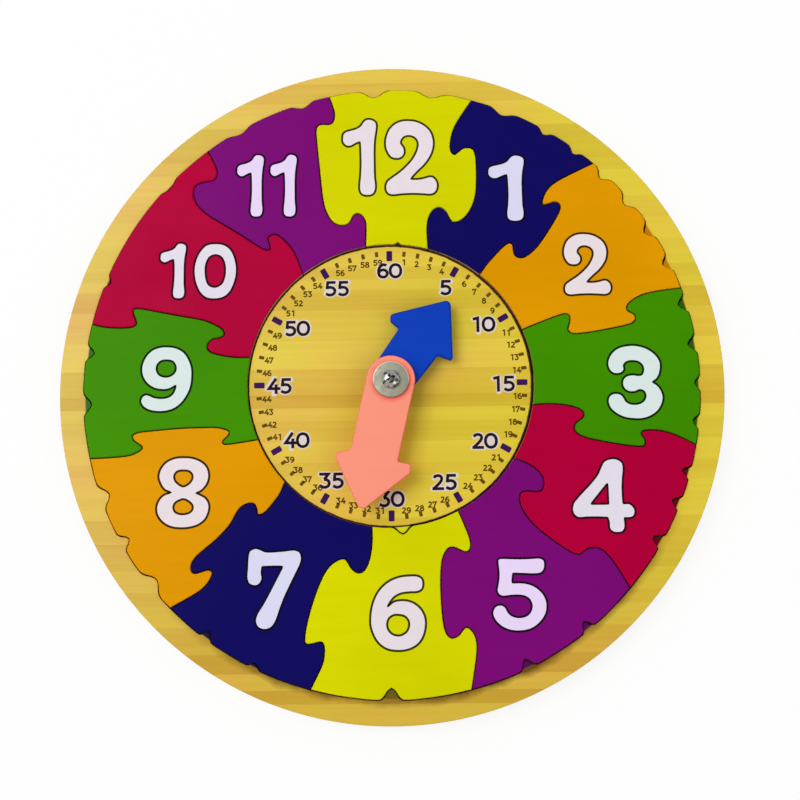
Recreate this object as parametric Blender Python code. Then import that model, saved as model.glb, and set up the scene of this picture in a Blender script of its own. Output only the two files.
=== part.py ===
"""Wooden clock puzzle: a round board with a dial, two loose hands and twelve hour pieces.

The board lies face up: +Z is the face, 12 o'clock is at +Y, and the origin is the
centre of its underside. Lengths are in metres. Clock angles run clockwise from +Y.
"""

import math

import bmesh
import bpy
from mathutils import Vector

# Board layers, from the underside up. The back board is as thick as the nut and washer that
# its well holds, and the nut's own inset.
BOARD_RADIUS = 0.150
RIM_WIDTH = 0.0108
FRONT_THICKNESS = 0.006
PIECE_THICKNESS = 0.0075
LAYER_GAP = 0.0003
BOARD_CHAMFER = 0.0006

# Dial, and the ring of hour pieces between it and the rim
DIAL_RADIUS = 0.0640
DIAL_CHAMFER = 0.0003
RING_CLEARANCE = 0.0006
SEAM_GAP = 0.0005
PIECE_CHAMFER = 0.0005
HOUR_PIECE_COUNT = 12

# Dial tab at the lower edge and nub at the upper edge, which key the dial to two pieces
DIAL_TAB_ANGLE = 175.7
DIAL_TAB_WIDTH = 0.0082
DIAL_TAB_REACH = 0.0032
DIAL_NUB_ANGLE = 3.5
DIAL_NUB_WIDTH = 0.0022
DIAL_NUB_REACH = 0.0011

# Rim tabs. Each has a place in hours, a share of the tab width along the rim, and a share
# of the tab reach towards the centre.
RIM_TAB_WIDTH = 0.0100
RIM_TAB_REACH = 0.0040
RIM_TAB_SHARES = (
    (0.28, 1.58, 0.65), (0.76, 1.40, 0.60), (1.06, 0.86, 0.58), (1.29, 0.78, 0.58),
    (1.53, 0.92, 0.80), (1.76, 1.10, 0.80), (1.99, 0.96, 0.92), (2.23, 0.86, 0.88),
    (2.51, 0.90, 0.95), (2.77, 0.86, 0.95), (3.02, 0.74, 0.60), (3.26, 0.70, 0.70),
    (3.58, 0.62, 0.90), (3.78, 0.66, 0.90), (4.04, 0.70, 1.10), (4.73, 0.66, 1.00),
    (5.16, 0.74, 1.05), (6.01, 0.96, 1.30), (6.87, 0.68, 0.55), (7.21, 0.66, 0.85),
    (7.68, 1.44, 0.95), (7.99, 0.84, 0.95), (8.30, 1.22, 1.00), (8.89, 1.08, 0.90),
    (9.22, 0.80, 0.90), (9.69, 0.70, 0.55), (10.42, 1.14, 0.40), (11.00, 1.46, 0.45),
    (11.44, 1.26, 0.55), (11.91, 1.44, 0.85),
)
TAB_STATION_SHARES = (-1.0, -0.66, -0.33, 0.0, 0.33, 0.66, 1.0)

# Seams between neighbouring pieces, from the dial to the rim. Each point is a share of
# half a pitch to the clockwise side of the even split, and a share of the ring's width.
SEAM_SHARES = (
    ((0.07, 0.0), (-0.09, 0.13), (-0.10, 0.21), (-0.02, 0.26), (0.10, 0.275), (0.24, 0.255),
     (0.42, 0.21), (0.60, 0.25), (0.67, 0.34), (0.62, 0.45), (0.45, 0.61), (0.36, 0.68),
     (0.28, 0.70), (0.16, 0.68), (0.07, 0.63), (-0.02, 0.66), (-0.05, 0.75), (-0.02, 0.84),
     (0.09, 1.0)),
    ((-0.36, 0.0), (-0.38, 0.09), (-0.35, 0.22), (-0.30, 0.27), (-0.22, 0.275), (-0.10, 0.245),
     (0.0, 0.235), (0.12, 0.26), (0.16, 0.33), (0.13, 0.42), (0.03, 0.57), (-0.03, 0.64),
     (-0.10, 0.665), (-0.18, 0.65), (-0.24, 0.61), (-0.30, 0.595), (-0.36, 0.64),
     (-0.38, 0.71), (-0.32, 0.80), (-0.14, 1.0)),
    ((-0.45, 0.0), (-0.45, 0.12), (-0.44, 0.24), (-0.41, 0.285), (-0.34, 0.30), (-0.22, 0.285),
     (-0.08, 0.26), (0.02, 0.285), (0.06, 0.345), (0.09, 0.44), (0.11, 0.61), (0.09, 0.66),
     (0.03, 0.68), (-0.04, 0.67), (-0.10, 0.645), (-0.17, 0.65), (-0.23, 0.69),
     (-0.26, 0.77), (-0.23, 0.88), (-0.18, 1.0)),
    ((-0.38, 0.0), (-0.46, 0.09), (-0.48, 0.20), (-0.44, 0.28), (-0.37, 0.31), (-0.28, 0.31),
     (-0.19, 0.285), (-0.10, 0.27), (0.02, 0.28), (0.08, 0.33), (0.08, 0.42), (0.04, 0.58),
     (0.0, 0.68), (-0.04, 0.705), (-0.12, 0.695), (-0.19, 0.67), (-0.25, 0.69),
     (-0.285, 0.78), (-0.26, 0.88), (-0.19, 1.0)),
    ((-0.86, 0.0), (-0.92, 0.08), (-0.91, 0.15), (-0.82, 0.21), (-0.66, 0.24), (-0.54, 0.235),
     (-0.43, 0.19), (-0.30, 0.155), (-0.16, 0.17), (-0.04, 0.22), (0.02, 0.30), (0.02, 0.40),
     (-0.03, 0.53), (-0.08, 0.62), (-0.14, 0.655), (-0.26, 0.665), (-0.36, 0.70),
     (-0.395, 0.755), (-0.35, 0.85), (-0.24, 1.0)),
    ((-0.82, 0.0), (-0.78, 0.12), (-0.74, 0.19), (-0.67, 0.23), (-0.57, 0.24), (-0.47, 0.215),
     (-0.36, 0.185), (-0.24, 0.18), (-0.12, 0.205), (-0.02, 0.25), (0.09, 0.35), (0.17, 0.48),
     (0.21, 0.60), (0.19, 0.665), (0.12, 0.69), (0.02, 0.68), (-0.09, 0.65), (-0.16, 0.67),
     (-0.19, 0.73), (-0.13, 0.82), (0.05, 1.0)),
    ((-0.48, 0.0), (-0.53, 0.08), (-0.53, 0.17), (-0.48, 0.24), (-0.40, 0.275), (-0.29, 0.28),
     (-0.17, 0.26), (-0.03, 0.22), (0.10, 0.23), (0.24, 0.28), (0.31, 0.36), (0.325, 0.50),
     (0.30, 0.64), (0.26, 0.73), (0.215, 0.758), (0.12, 0.742), (0.02, 0.722), (-0.04, 0.75),
     (-0.07, 0.83), (-0.04, 0.91), (0.0, 1.0)),
    ((0.15, 0.0), (0.03, 0.065), (-0.02, 0.14), (-0.03, 0.21), (0.03, 0.25), (0.12, 0.235),
     (0.24, 0.222), (0.34, 0.245), (0.38, 0.30), (0.33, 0.355), (0.26, 0.42), (0.23, 0.54),
     (0.24, 0.68), (0.19, 0.745), (0.10, 0.765), (0.04, 0.735), (-0.02, 0.69), (-0.09, 0.68),
     (-0.14, 0.72), (-0.15, 0.79), (-0.10, 0.88), (-0.02, 1.0)),
    ((-0.50, 0.0), (-0.36, 0.15), (-0.30, 0.20), (-0.23, 0.20), (-0.15, 0.16), (-0.07, 0.147),
     (0.02, 0.175), (0.10, 0.225), (0.18, 0.33), (0.24, 0.44), (0.295, 0.62), (0.305, 0.695),
     (0.27, 0.725), (0.20, 0.72), (0.12, 0.69), (0.06, 0.68), (0.02, 0.72), (0.01, 0.77),
     (0.04, 0.86), (0.10, 1.0)),
    ((-0.235, 0.0), (-0.30, 0.08), (-0.315, 0.17), (-0.285, 0.245), (-0.21, 0.273),
     (-0.10, 0.272), (0.0, 0.25), (0.07, 0.21), (0.15, 0.193), (0.25, 0.215), (0.30, 0.28),
     (0.305, 0.355), (0.26, 0.46), (0.20, 0.635), (0.17, 0.74), (0.13, 0.78), (0.05, 0.765),
     (-0.06, 0.735), (-0.13, 0.765), (-0.18, 0.85), (-0.20, 0.93), (-0.195, 1.0)),
    ((0.49, 0.0), (0.60, 0.09), (0.65, 0.17), (0.63, 0.24), (0.58, 0.295), (0.49, 0.32),
     (0.39, 0.318), (0.33, 0.28), (0.26, 0.254), (0.18, 0.28), (0.12, 0.34), (0.05, 0.45),
     (-0.05, 0.61), (-0.09, 0.70), (-0.08, 0.79), (0.0, 0.855), (0.10, 0.878), (0.20, 0.862),
     (0.33, 0.828), (0.42, 0.845), (0.48, 0.90), (0.515, 1.0)),
    ((0.36, 0.0), (0.43, 0.09), (0.46, 0.155), (0.40, 0.20), (0.30, 0.218), (0.20, 0.205),
     (0.10, 0.172), (-0.03, 0.163), (-0.18, 0.18), (-0.28, 0.22), (-0.315, 0.30),
     (-0.27, 0.40), (-0.17, 0.56), (-0.08, 0.74), (-0.03, 0.82), (0.05, 0.836),
     (0.16, 0.823), (0.23, 0.84), (0.265, 0.90), (0.24, 1.0)),
)
SEAM_STEPS = 2

# Hands, drawn pointing at 12 and turned to the time that they show. Their hub is round the
# bore, the shaft lies a little to one side of it, and the arrowhead leans a little.
HAND_HUB_RADIUS = 0.0108
HAND_HUB_BLEND = 0.0125
HAND_WIDTH = 0.0210
HAND_BARB_WIDTH = 0.0062
HAND_HEAD_LENGTH = 0.0233
HAND_HEAD_LEAN = 2.5
HAND_BARB_DEPTH = 0.0042
HAND_BARB_RADIUS = 0.0022
HAND_TIP_WIDTH = 0.0030
HAND_TIP_RADIUS = 0.0008
HAND_NOTCH_RADIUS = 0.0010
HOUR_HAND_SHAFT_LENGTH = 0.0209
HOUR_HAND_SHAFT_OFFSET = -0.0002
HOUR_HAND_THICKNESS = 0.0040
HOUR_HAND_EDGE = 0.0012
HOUR_HAND_ANGLE = 35.0
MINUTE_HAND_SHAFT_LENGTH = 0.0343
MINUTE_HAND_SHAFT_OFFSET = 0.0008
MINUTE_HAND_THICKNESS = 0.0030
MINUTE_HAND_EDGE = 0.0003
MINUTE_HAND_ANGLE = 191.8
PIVOT_OFFSET = 0.00055

# Centre screw, its nut and the washers on it
SCREW_DIAMETER = 0.0040
SCREW_CLEARANCE = 0.0006
SCREW_HEAD_DIAMETER = 0.0080
SCREW_HEAD_HEIGHT = 0.0027
SCREW_HEAD_LIP = 0.0007
SCREW_END_REACH = 0.0004
CROSS_LENGTH = 0.0044
CROSS_WIDTH = 0.0009
CROSS_DEPTH = 0.0014
FRONT_WASHER_DIAMETER = 0.0160
FRONT_WASHER_THICKNESS = 0.0010
HAND_WASHER_DIAMETER = 0.0120
HAND_WASHER_THICKNESS = 0.0010
SPACER_DIAMETER = 0.0120
SPACER_LENGTH = 0.0030
REAR_WASHER_DIAMETER = 0.0100
REAR_WASHER_THICKNESS = 0.0008
NUT_INSET = 0.0009
NUT_FLATS = 0.0070
NUT_THICKNESS = 0.0030
NUT_CHAMFER = 0.0004
WELL_CLEARANCE = 0.0020

# Facets of the round pieces
BOARD_SEGMENTS = 120
ARC_STEP_DEGREES = 5.0
WASHER_SEGMENTS = 32
BORE_SEGMENTS = 24
HEAD_RISE_STEPS = 4
CORNER_STEPS = 3
HUB_STEPS = 14
CUT_OVERRUN = 0.001
SHARPEST_CORNER = 0.5
SHARP_ANGLE = 30.0
MERGE_DISTANCE = 0.000001

# Colours as linear red, green, blue
YELLOW = (0.69, 0.71, 0.004)
NAVY = (0.006, 0.004, 0.091)
ORANGE = (0.73, 0.314, 0.002)
GREEN = (0.050, 0.275, 0.002)
RED = (0.434, 0.002, 0.030)
PURPLE = (0.181, 0.003, 0.162)
PIECE_COLOURS = (YELLOW, NAVY, ORANGE, GREEN, RED, PURPLE)
PALE_WOOD = (0.745, 0.515, 0.120)
BACK_WOOD = (0.50, 0.33, 0.16)
BLUE = (0.005, 0.051, 0.479)
CORAL = (1.0, 0.305, 0.205)
STEEL = (0.58, 0.57, 0.52)
BLACK_PLASTIC = (0.02, 0.02, 0.02)

# Heights that follow from the stack
REAR_WASHER_BASE = NUT_INSET + NUT_THICKNESS + LAYER_GAP
BACK_THICKNESS = REAR_WASHER_BASE + REAR_WASHER_THICKNESS
FRONT_BASE = BACK_THICKNESS + LAYER_GAP
DIAL_TOP = FRONT_BASE + FRONT_THICKNESS
RECESS_RADIUS = BOARD_RADIUS - RIM_WIDTH
PIECE_INNER_RADIUS = DIAL_RADIUS + RING_CLEARANCE
PIECE_OUTER_RADIUS = RECESS_RADIUS - RING_CLEARANCE
PIECE_PITCH = 360.0 / HOUR_PIECE_COUNT
SPACER_BASE = DIAL_TOP + LAYER_GAP
HOUR_HAND_BASE = SPACER_BASE + SPACER_LENGTH + LAYER_GAP
HAND_WASHER_BASE = HOUR_HAND_BASE + HOUR_HAND_THICKNESS + LAYER_GAP
MINUTE_HAND_BASE = HAND_WASHER_BASE + HAND_WASHER_THICKNESS + LAYER_GAP
FRONT_WASHER_BASE = MINUTE_HAND_BASE + MINUTE_HAND_THICKNESS + LAYER_GAP
SCREW_HEAD_BASE = FRONT_WASHER_BASE + FRONT_WASHER_THICKNESS + LAYER_GAP
SCREW_END = NUT_INSET - SCREW_END_REACH
WELL_RADIUS = REAR_WASHER_DIAMETER / 2 + WELL_CLEARANCE
BORE_RADIUS = (SCREW_DIAMETER + SCREW_CLEARANCE) / 2
PIVOT = Vector((PIVOT_OFFSET, 0.0))

# Tabs as clock angle in degrees, width and reach
RIM_TABS = tuple((hours * PIECE_PITCH, RIM_TAB_WIDTH * width_share, RIM_TAB_REACH * reach_share)
                 for hours, width_share, reach_share in RIM_TAB_SHARES)
DIAL_TABS = (
    (DIAL_TAB_ANGLE, DIAL_TAB_WIDTH, DIAL_TAB_REACH),
    (DIAL_NUB_ANGLE, DIAL_NUB_WIDTH, DIAL_NUB_REACH),
)


def clear_scene():
    """Remove every object that the scene holds."""
    for item in list(bpy.data.objects):
        bpy.data.objects.remove(item, do_unlink=True)


def make_material(name, colour, roughness, metallic=0.0):
    """Return a plain material of one colour."""
    material = bpy.data.materials.new(name)
    material.use_nodes = True
    shader = material.node_tree.nodes["Principled BSDF"]
    shader.inputs["Base Color"].default_value = (*colour, 1.0)
    shader.inputs["Roughness"].default_value = roughness
    shader.inputs["Metallic"].default_value = metallic
    return material


def clock_point(radius, degrees):
    """Return the point at a clock angle, clockwise from +Y."""
    angle = math.radians(degrees)
    return Vector((radius * math.sin(angle), radius * math.cos(angle)))


def clock_angle(point):
    """Return the clock angle of a point in degrees."""
    return math.degrees(math.atan2(point.x, point.y))


def signed_turn(degrees):
    """Return an angle in degrees brought between minus a half turn and a half turn."""
    return (degrees + 180.0) % 360.0 - 180.0


def circle(radius, segments):
    """Return the corners of a circle about the centre."""
    return [clock_point(radius, 360.0 * step / segments) for step in range(segments)]


def smooth_line(points, steps):
    """Return a curve through the points, with some steps between each two of them."""
    first = points[0] * 2 - points[1]
    last = points[-1] * 2 - points[-2]
    padded = [first, *points, last]
    line = []
    for index in range(1, len(padded) - 2):
        before, start, end, after = padded[index - 1:index + 3]
        for step in range(steps):
            t = step / steps
            bend = (before * 2 - start * 5 + end * 4 - after) * t * t
            swing = (start * 3 - before - end * 3 + after) * t * t * t
            line.append((start * 2 + (end - before) * t + bend + swing) / 2)
    line.append(points[-1])
    return line


def shifted(points, distance, closed):
    """Return the points moved sideways, to the right of the way they run."""
    moved = []
    for index, point in enumerate(points):
        after = points[(index + 1) % len(points)]
        along_in = (point - points[index - 1]).normalized()
        along_out = (after - point).normalized()
        if not closed and index == 0:
            along_in = along_out
        if not closed and index == len(points) - 1:
            along_out = along_in
        along = (along_in + along_out).normalized()
        side = Vector((along.y, -along.x))
        moved.append(point + side * distance / max(along.dot(along_in), SHARPEST_CORNER))
    return moved


def tab_reach(degrees, tabs, radius, clearance):
    """Return how far the tabs stand out at a clock angle, on an edge of this radius."""
    highest = 0.0
    for angle, width, reach in tabs:
        half = math.degrees((width / 2 + clearance) / radius)
        offset = signed_turn(degrees - angle)
        if abs(offset) < half:
            highest = max(highest, reach * math.cos(math.pi / 2 * offset / half) ** 2)
    return highest


def edge_stations(start, end, tabs, radius, clearance):
    """Return clock angles from start to end that follow each tab and each plain arc."""
    angles = [start, end]
    for turn in (-360.0, 0.0, 360.0):
        for angle, width, _ in tabs:
            half = math.degrees((width / 2 + clearance) / radius)
            for share in TAB_STATION_SHARES:
                station = angle + turn + half * share
                if start < station < end:
                    angles.append(station)
    angles.sort()
    filled = [angles[0]]
    for angle in angles[1:]:
        parts = math.ceil((angle - filled[-1]) / ARC_STEP_DEGREES)
        last = filled[-1]
        filled.extend(last + (angle - last) * part / parts for part in range(1, parts + 1))
    return filled


def recess_edge(start, end, clearance):
    """Return points along the tabbed edge of the recess, drawn in by a clearance."""
    radius = RECESS_RADIUS - clearance
    points = []
    for degrees in edge_stations(start, end, RIM_TABS, RECESS_RADIUS, clearance):
        reach = tab_reach(degrees, RIM_TABS, RECESS_RADIUS, clearance)
        points.append(clock_point(radius - reach, degrees))
    return points


def dial_edge(start, end, clearance):
    """Return points along the dial's edge, moved out by a clearance."""
    radius = DIAL_RADIUS + clearance
    points = []
    for degrees in edge_stations(start, end, DIAL_TABS, DIAL_RADIUS, clearance):
        reach = tab_reach(degrees, DIAL_TABS, DIAL_RADIUS, clearance)
        points.append(clock_point(radius + reach, degrees))
    return points


def seam_line(index):
    """Return the smooth line between hour piece index and the next one clockwise."""
    ring_width = PIECE_OUTER_RADIUS - PIECE_INNER_RADIUS
    middle = (index + 0.5) * PIECE_PITCH
    points = []
    for across_share, up_share in SEAM_SHARES[index % len(SEAM_SHARES)]:
        radius = PIECE_INNER_RADIUS + ring_width * up_share
        points.append(clock_point(radius, middle + PIECE_PITCH / 2 * across_share))
    return smooth_line(points, SEAM_STEPS)


def hour_piece_outline(index):
    """Return an hour piece's outline, from its two seams and the two edges of the ring."""
    later_seam = shifted(seam_line(index), -SEAM_GAP / 2, False)
    earlier_seam = shifted(seam_line(index - 1), SEAM_GAP / 2, False)
    middle = index * PIECE_PITCH
    ends = []
    for point in (earlier_seam[0], later_seam[0], earlier_seam[-1], later_seam[-1]):
        ends.append(middle + signed_turn(clock_angle(point) - middle))
    inner = dial_edge(ends[0], ends[1], RING_CLEARANCE)
    outer = recess_edge(ends[2], ends[3], RING_CLEARANCE)
    return earlier_seam[1:-1] + outer + later_seam[-2:0:-1] + inner[::-1]


def area(loop):
    """Return a loop's signed area, positive where it runs anticlockwise."""
    total = 0.0
    for index, point in enumerate(loop):
        total += loop[index - 1].cross(point)
    return total / 2


def ring_faces(mesh, lower, upper):
    """Join two rings of corners, one above the other, with a band of faces."""
    for index, corner in enumerate(lower):
        after = (index + 1) % len(lower)
        mesh.faces.new((corner, lower[after], upper[after], upper[index]))


def cap_face(mesh, rings):
    """Fill the area between the first ring of corners and the holes in it."""
    edges = []
    for ring in rings:
        for index, corner in enumerate(ring):
            edges.append(mesh.edges.get((corner, ring[(index + 1) % len(ring)])))
    bmesh.ops.triangle_fill(mesh, edges=edges, use_beauty=True, use_dissolve=False)


def plate_mesh(name, outline, holes, thickness, edge_levels):
    """Return a flat plate's mesh, its edge drawn in by (height, inset) at each level."""
    mesh = bmesh.new()
    lowest = []
    highest = []
    for loop, inward in [(outline, 1.0)] + [(hole, 0.0) for hole in holes]:
        if area(loop) > 0:
            loop = loop[::-1]
        levels = edge_levels if inward else ((0.0, 0.0), (thickness, 0.0))
        rings = []
        for height, inset in levels:
            points = shifted(loop, inset, True) if inset else loop
            rings.append([mesh.verts.new((point.x, point.y, height)) for point in points])
        for lower, upper in zip(rings, rings[1:]):
            ring_faces(mesh, lower, upper)
        lowest.append(rings[0])
        highest.append(rings[-1])
    cap_face(mesh, lowest)
    cap_face(mesh, highest)
    bmesh.ops.recalc_face_normals(mesh, faces=mesh.faces)
    data = bpy.data.meshes.new(name)
    mesh.to_mesh(data)
    mesh.free()
    return data


def add_object(name, data, material, height, place=Vector((0.0, 0.0)), turn=0.0):
    """Add an object at a place and height, turned clockwise by some degrees."""
    item = bpy.data.objects.new(name, data)
    bpy.context.collection.objects.link(item)
    item.location = (place.x, place.y, height)
    item.rotation_euler.z = -math.radians(turn)
    data.materials.append(material)
    data.shade_smooth()
    data.set_sharp_from_angle(angle=math.radians(SHARP_ANGLE))
    return item


def square_edge(thickness):
    """Return the levels of an edge that is cut square."""
    return ((0.0, 0.0), (thickness, 0.0))


def top_chamfer(thickness, chamfer):
    """Return the levels of an edge with a chamfer at the top."""
    return ((0.0, 0.0), (thickness - chamfer, 0.0), (thickness, chamfer))


def round_edge(thickness, chamfer):
    """Return the levels of an edge that is eased at the top and the bottom."""
    return ((0.0, chamfer), (chamfer, 0.0), (thickness - chamfer, 0.0), (thickness, chamfer))


def build_board(wood, back_wood):
    """Add the back board, the rim ring and the dial disc."""
    well = [point + PIVOT for point in circle(WELL_RADIUS, WASHER_SEGMENTS)]
    disc = circle(BOARD_RADIUS, BOARD_SEGMENTS)
    back = plate_mesh("back_board", disc, [well], BACK_THICKNESS, square_edge(BACK_THICKNESS))
    add_object("back_board", back, back_wood, 0.0)

    recess = recess_edge(0.0, 360.0, 0.0)[:-1]
    rim_levels = top_chamfer(FRONT_THICKNESS, BOARD_CHAMFER)
    rim = plate_mesh("rim_ring", disc, [recess], FRONT_THICKNESS, rim_levels)
    add_object("rim_ring", rim, wood, FRONT_BASE)

    bore = [point + PIVOT for point in circle(BORE_RADIUS, BORE_SEGMENTS)]
    edge = dial_edge(0.0, 360.0, 0.0)[:-1]
    dial_levels = top_chamfer(FRONT_THICKNESS, DIAL_CHAMFER)
    dial = plate_mesh("dial_disc", edge, [bore], FRONT_THICKNESS, dial_levels)
    add_object("dial_disc", dial, wood, FRONT_BASE)


def build_hour_pieces():
    """Add the twelve hour pieces, each about its own place on the ring."""
    colours = [make_material(f"paint_{index + 1}", colour, 0.2)
               for index, colour in enumerate(PIECE_COLOURS)]
    levels = top_chamfer(PIECE_THICKNESS, PIECE_CHAMFER)
    for index in range(HOUR_PIECE_COUNT):
        hour = index if index else HOUR_PIECE_COUNT
        place = clock_point((PIECE_INNER_RADIUS + PIECE_OUTER_RADIUS) / 2, index * PIECE_PITCH)
        outline = [point - place for point in hour_piece_outline(index)]
        name = f"hour_piece_{hour:02d}"
        data = plate_mesh(name, outline, [], PIECE_THICKNESS, levels)
        add_object(name, data, colours[index % len(colours)], FRONT_BASE, place)


def rounded_corner(before, corner, after, radius):
    """Return an arc that rounds a corner, tangent to both of its sides."""
    to_before = (before - corner).normalized()
    to_after = (after - corner).normalized()
    half_angle = to_before.angle(to_after) / 2
    reach = radius / math.tan(half_angle)
    centre = corner + (to_before + to_after).normalized() * radius / math.sin(half_angle)
    first = corner + to_before * reach - centre
    last = corner + to_after * reach - centre
    arc = []
    for step in range(CORNER_STEPS + 1):
        direction = first.lerp(last, step / CORNER_STEPS).normalized()
        arc.append(centre + direction * radius)
    return arc


def hand_outline(shaft_length, shaft_offset):
    """Return an arrow-shaped hand's outline, pointing at 12, with its bore at the origin."""
    half = HAND_WIDTH / 2
    head_half = half + HAND_BARB_WIDTH
    neck = Vector((shaft_offset, shaft_length))
    shaft = [
        (Vector((HAND_HUB_RADIUS, 0.0)), 0.0),
        (Vector((shaft_offset + half, HAND_HUB_BLEND)), 0.0),
        (neck + leaned(half, 0.0), HAND_NOTCH_RADIUS),
        (neck + leaned(head_half, 0.0), HAND_BARB_RADIUS),
        (neck + leaned(head_half, HAND_BARB_DEPTH), HAND_BARB_RADIUS),
        (neck + leaned(HAND_TIP_WIDTH / 2, HAND_HEAD_LENGTH), HAND_TIP_RADIUS),
        (neck + leaned(-HAND_TIP_WIDTH / 2, HAND_HEAD_LENGTH), HAND_TIP_RADIUS),
        (neck + leaned(-head_half, HAND_BARB_DEPTH), HAND_BARB_RADIUS),
        (neck + leaned(-head_half, 0.0), HAND_BARB_RADIUS),
        (neck + leaned(-half, 0.0), HAND_NOTCH_RADIUS),
        (Vector((shaft_offset - half, HAND_HUB_BLEND)), 0.0),
        (Vector((-HAND_HUB_RADIUS, 0.0)), 0.0),
    ]
    outline = []
    for index, (corner, radius) in enumerate(shaft):
        if radius:
            before = shaft[index - 1][0]
            after = shaft[index + 1][0]
            outline += rounded_corner(before, corner, after, radius)
        else:
            outline.append(corner)
    hub = [clock_point(HAND_HUB_RADIUS, 270.0 - 180.0 * step / HUB_STEPS)
           for step in range(1, HUB_STEPS)]
    return hub + outline


def leaned(across, along):
    """Return a point of the arrowhead, measured from its neck, leaned with the head."""
    lean = math.radians(HAND_HEAD_LEAN)
    return Vector((across * math.cos(lean) + along * math.sin(lean),
                   along * math.cos(lean) - across * math.sin(lean)))


def build_hands():
    """Add the hour hand and the minute hand, each turning about its own origin."""
    blue = make_material("blue_paint", BLUE, 0.35)
    coral = make_material("coral_paint", CORAL, 0.5)
    hole = circle(BORE_RADIUS, BORE_SEGMENTS)
    for name, shaft_length, shaft_offset, thickness, edge, base, turn, paint in (
        ("hour_hand", HOUR_HAND_SHAFT_LENGTH, HOUR_HAND_SHAFT_OFFSET, HOUR_HAND_THICKNESS,
         HOUR_HAND_EDGE, HOUR_HAND_BASE, HOUR_HAND_ANGLE, blue),
        ("minute_hand", MINUTE_HAND_SHAFT_LENGTH, MINUTE_HAND_SHAFT_OFFSET,
         MINUTE_HAND_THICKNESS, MINUTE_HAND_EDGE, MINUTE_HAND_BASE, MINUTE_HAND_ANGLE, coral),
    ):
        levels = round_edge(thickness, edge)
        outline = hand_outline(shaft_length, shaft_offset)
        data = plate_mesh(name, outline, [hole], thickness, levels)
        add_object(name, data, paint, base, PIVOT, turn)


def build_washers(steel, plastic):
    """Add the spacer and the washers on the centre screw."""
    hole = circle(BORE_RADIUS, BORE_SEGMENTS)
    for name, diameter, thickness, base, material in (
        ("dial_spacer", SPACER_DIAMETER, SPACER_LENGTH, SPACER_BASE, plastic),
        ("hand_washer", HAND_WASHER_DIAMETER, HAND_WASHER_THICKNESS, HAND_WASHER_BASE, steel),
        ("front_washer", FRONT_WASHER_DIAMETER, FRONT_WASHER_THICKNESS, FRONT_WASHER_BASE, steel),
        ("rear_washer", REAR_WASHER_DIAMETER, REAR_WASHER_THICKNESS, REAR_WASHER_BASE, steel),
    ):
        rim = circle(diameter / 2, WASHER_SEGMENTS)
        data = plate_mesh(name, rim, [hole], thickness, square_edge(thickness))
        add_object(name, data, material, base, PIVOT)


def build_nut(steel):
    """Add the hexagon nut in the well under the dial."""
    hexagon = circle(NUT_FLATS / 2 / math.cos(math.pi / 6), 6)
    hole = circle(BORE_RADIUS, BORE_SEGMENTS)
    levels = round_edge(NUT_THICKNESS, NUT_CHAMFER)
    data = plate_mesh("lock_nut", hexagon, [hole], NUT_THICKNESS, levels)
    add_object("lock_nut", data, steel, NUT_INSET, PIVOT)


def turned_mesh(name, profile, segments):
    """Return a solid turned about Z from a profile of (radius, height) that ends on the axis."""
    mesh = bmesh.new()
    corners = [mesh.verts.new((radius, 0.0, height)) for radius, height in profile]
    edges = [mesh.edges.new(pair) for pair in zip(corners, corners[1:])]
    bmesh.ops.spin(mesh, geom=corners + edges, cent=(0.0, 0.0, 0.0), axis=(0.0, 0.0, 1.0),
                   angle=math.tau, steps=segments, use_merge=True)
    bmesh.ops.remove_doubles(mesh, verts=mesh.verts, dist=MERGE_DISTANCE)
    bmesh.ops.recalc_face_normals(mesh, faces=mesh.faces)
    data = bpy.data.meshes.new(name)
    mesh.to_mesh(data)
    mesh.free()
    return data


def quarter_turned(point, quarters):
    """Return a point turned clockwise about the origin by whole quarters."""
    for _ in range(quarters):
        point = Vector((point.y, -point.x))
    return point


def cross_cutter():
    """Return a hidden cross-shaped cutter for the recess in the screw's head."""
    half_length = CROSS_LENGTH / 2
    half_width = CROSS_WIDTH / 2
    arm = (Vector((-half_width, half_length)), Vector((half_width, half_length)),
           Vector((half_width, half_width)))
    outline = [quarter_turned(corner, quarter) for quarter in range(4) for corner in arm]
    depth = CROSS_DEPTH + CUT_OVERRUN
    data = plate_mesh("cross_cutter", outline, [], depth, square_edge(depth))
    cutter = bpy.data.objects.new("cross_cutter", data)
    bpy.context.collection.objects.link(cutter)
    height = SCREW_HEAD_BASE + SCREW_HEAD_HEIGHT - CROSS_DEPTH
    cutter.location = (PIVOT.x, PIVOT.y, height)
    cutter.hide_render = True
    cutter.display_type = "WIRE"
    return cutter


def build_screw(steel):
    """Add the centre screw, from its end above the underside to its cross-recessed head."""
    shank = SCREW_DIAMETER / 2
    head = SCREW_HEAD_DIAMETER / 2
    profile = [(0.0, SCREW_END), (shank, SCREW_END), (shank, SCREW_HEAD_BASE),
               (head, SCREW_HEAD_BASE), (head, SCREW_HEAD_BASE + SCREW_HEAD_LIP)]
    rise = SCREW_HEAD_HEIGHT - SCREW_HEAD_LIP
    for step in range(1, HEAD_RISE_STEPS + 1):
        angle = math.pi / 2 * step / HEAD_RISE_STEPS
        height = SCREW_HEAD_BASE + SCREW_HEAD_LIP + rise * math.sin(angle)
        profile.append((head * math.cos(angle), height))
    profile[-1] = (0.0, SCREW_HEAD_BASE + SCREW_HEAD_HEIGHT)
    data = turned_mesh("centre_screw", profile, BORE_SEGMENTS)
    screw = add_object("centre_screw", data, steel, 0.0, PIVOT)
    cut = screw.modifiers.new("cross_recess", "BOOLEAN")
    cut.operation = "DIFFERENCE"
    cut.solver = "EXACT"
    cut.object = cross_cutter()


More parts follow.
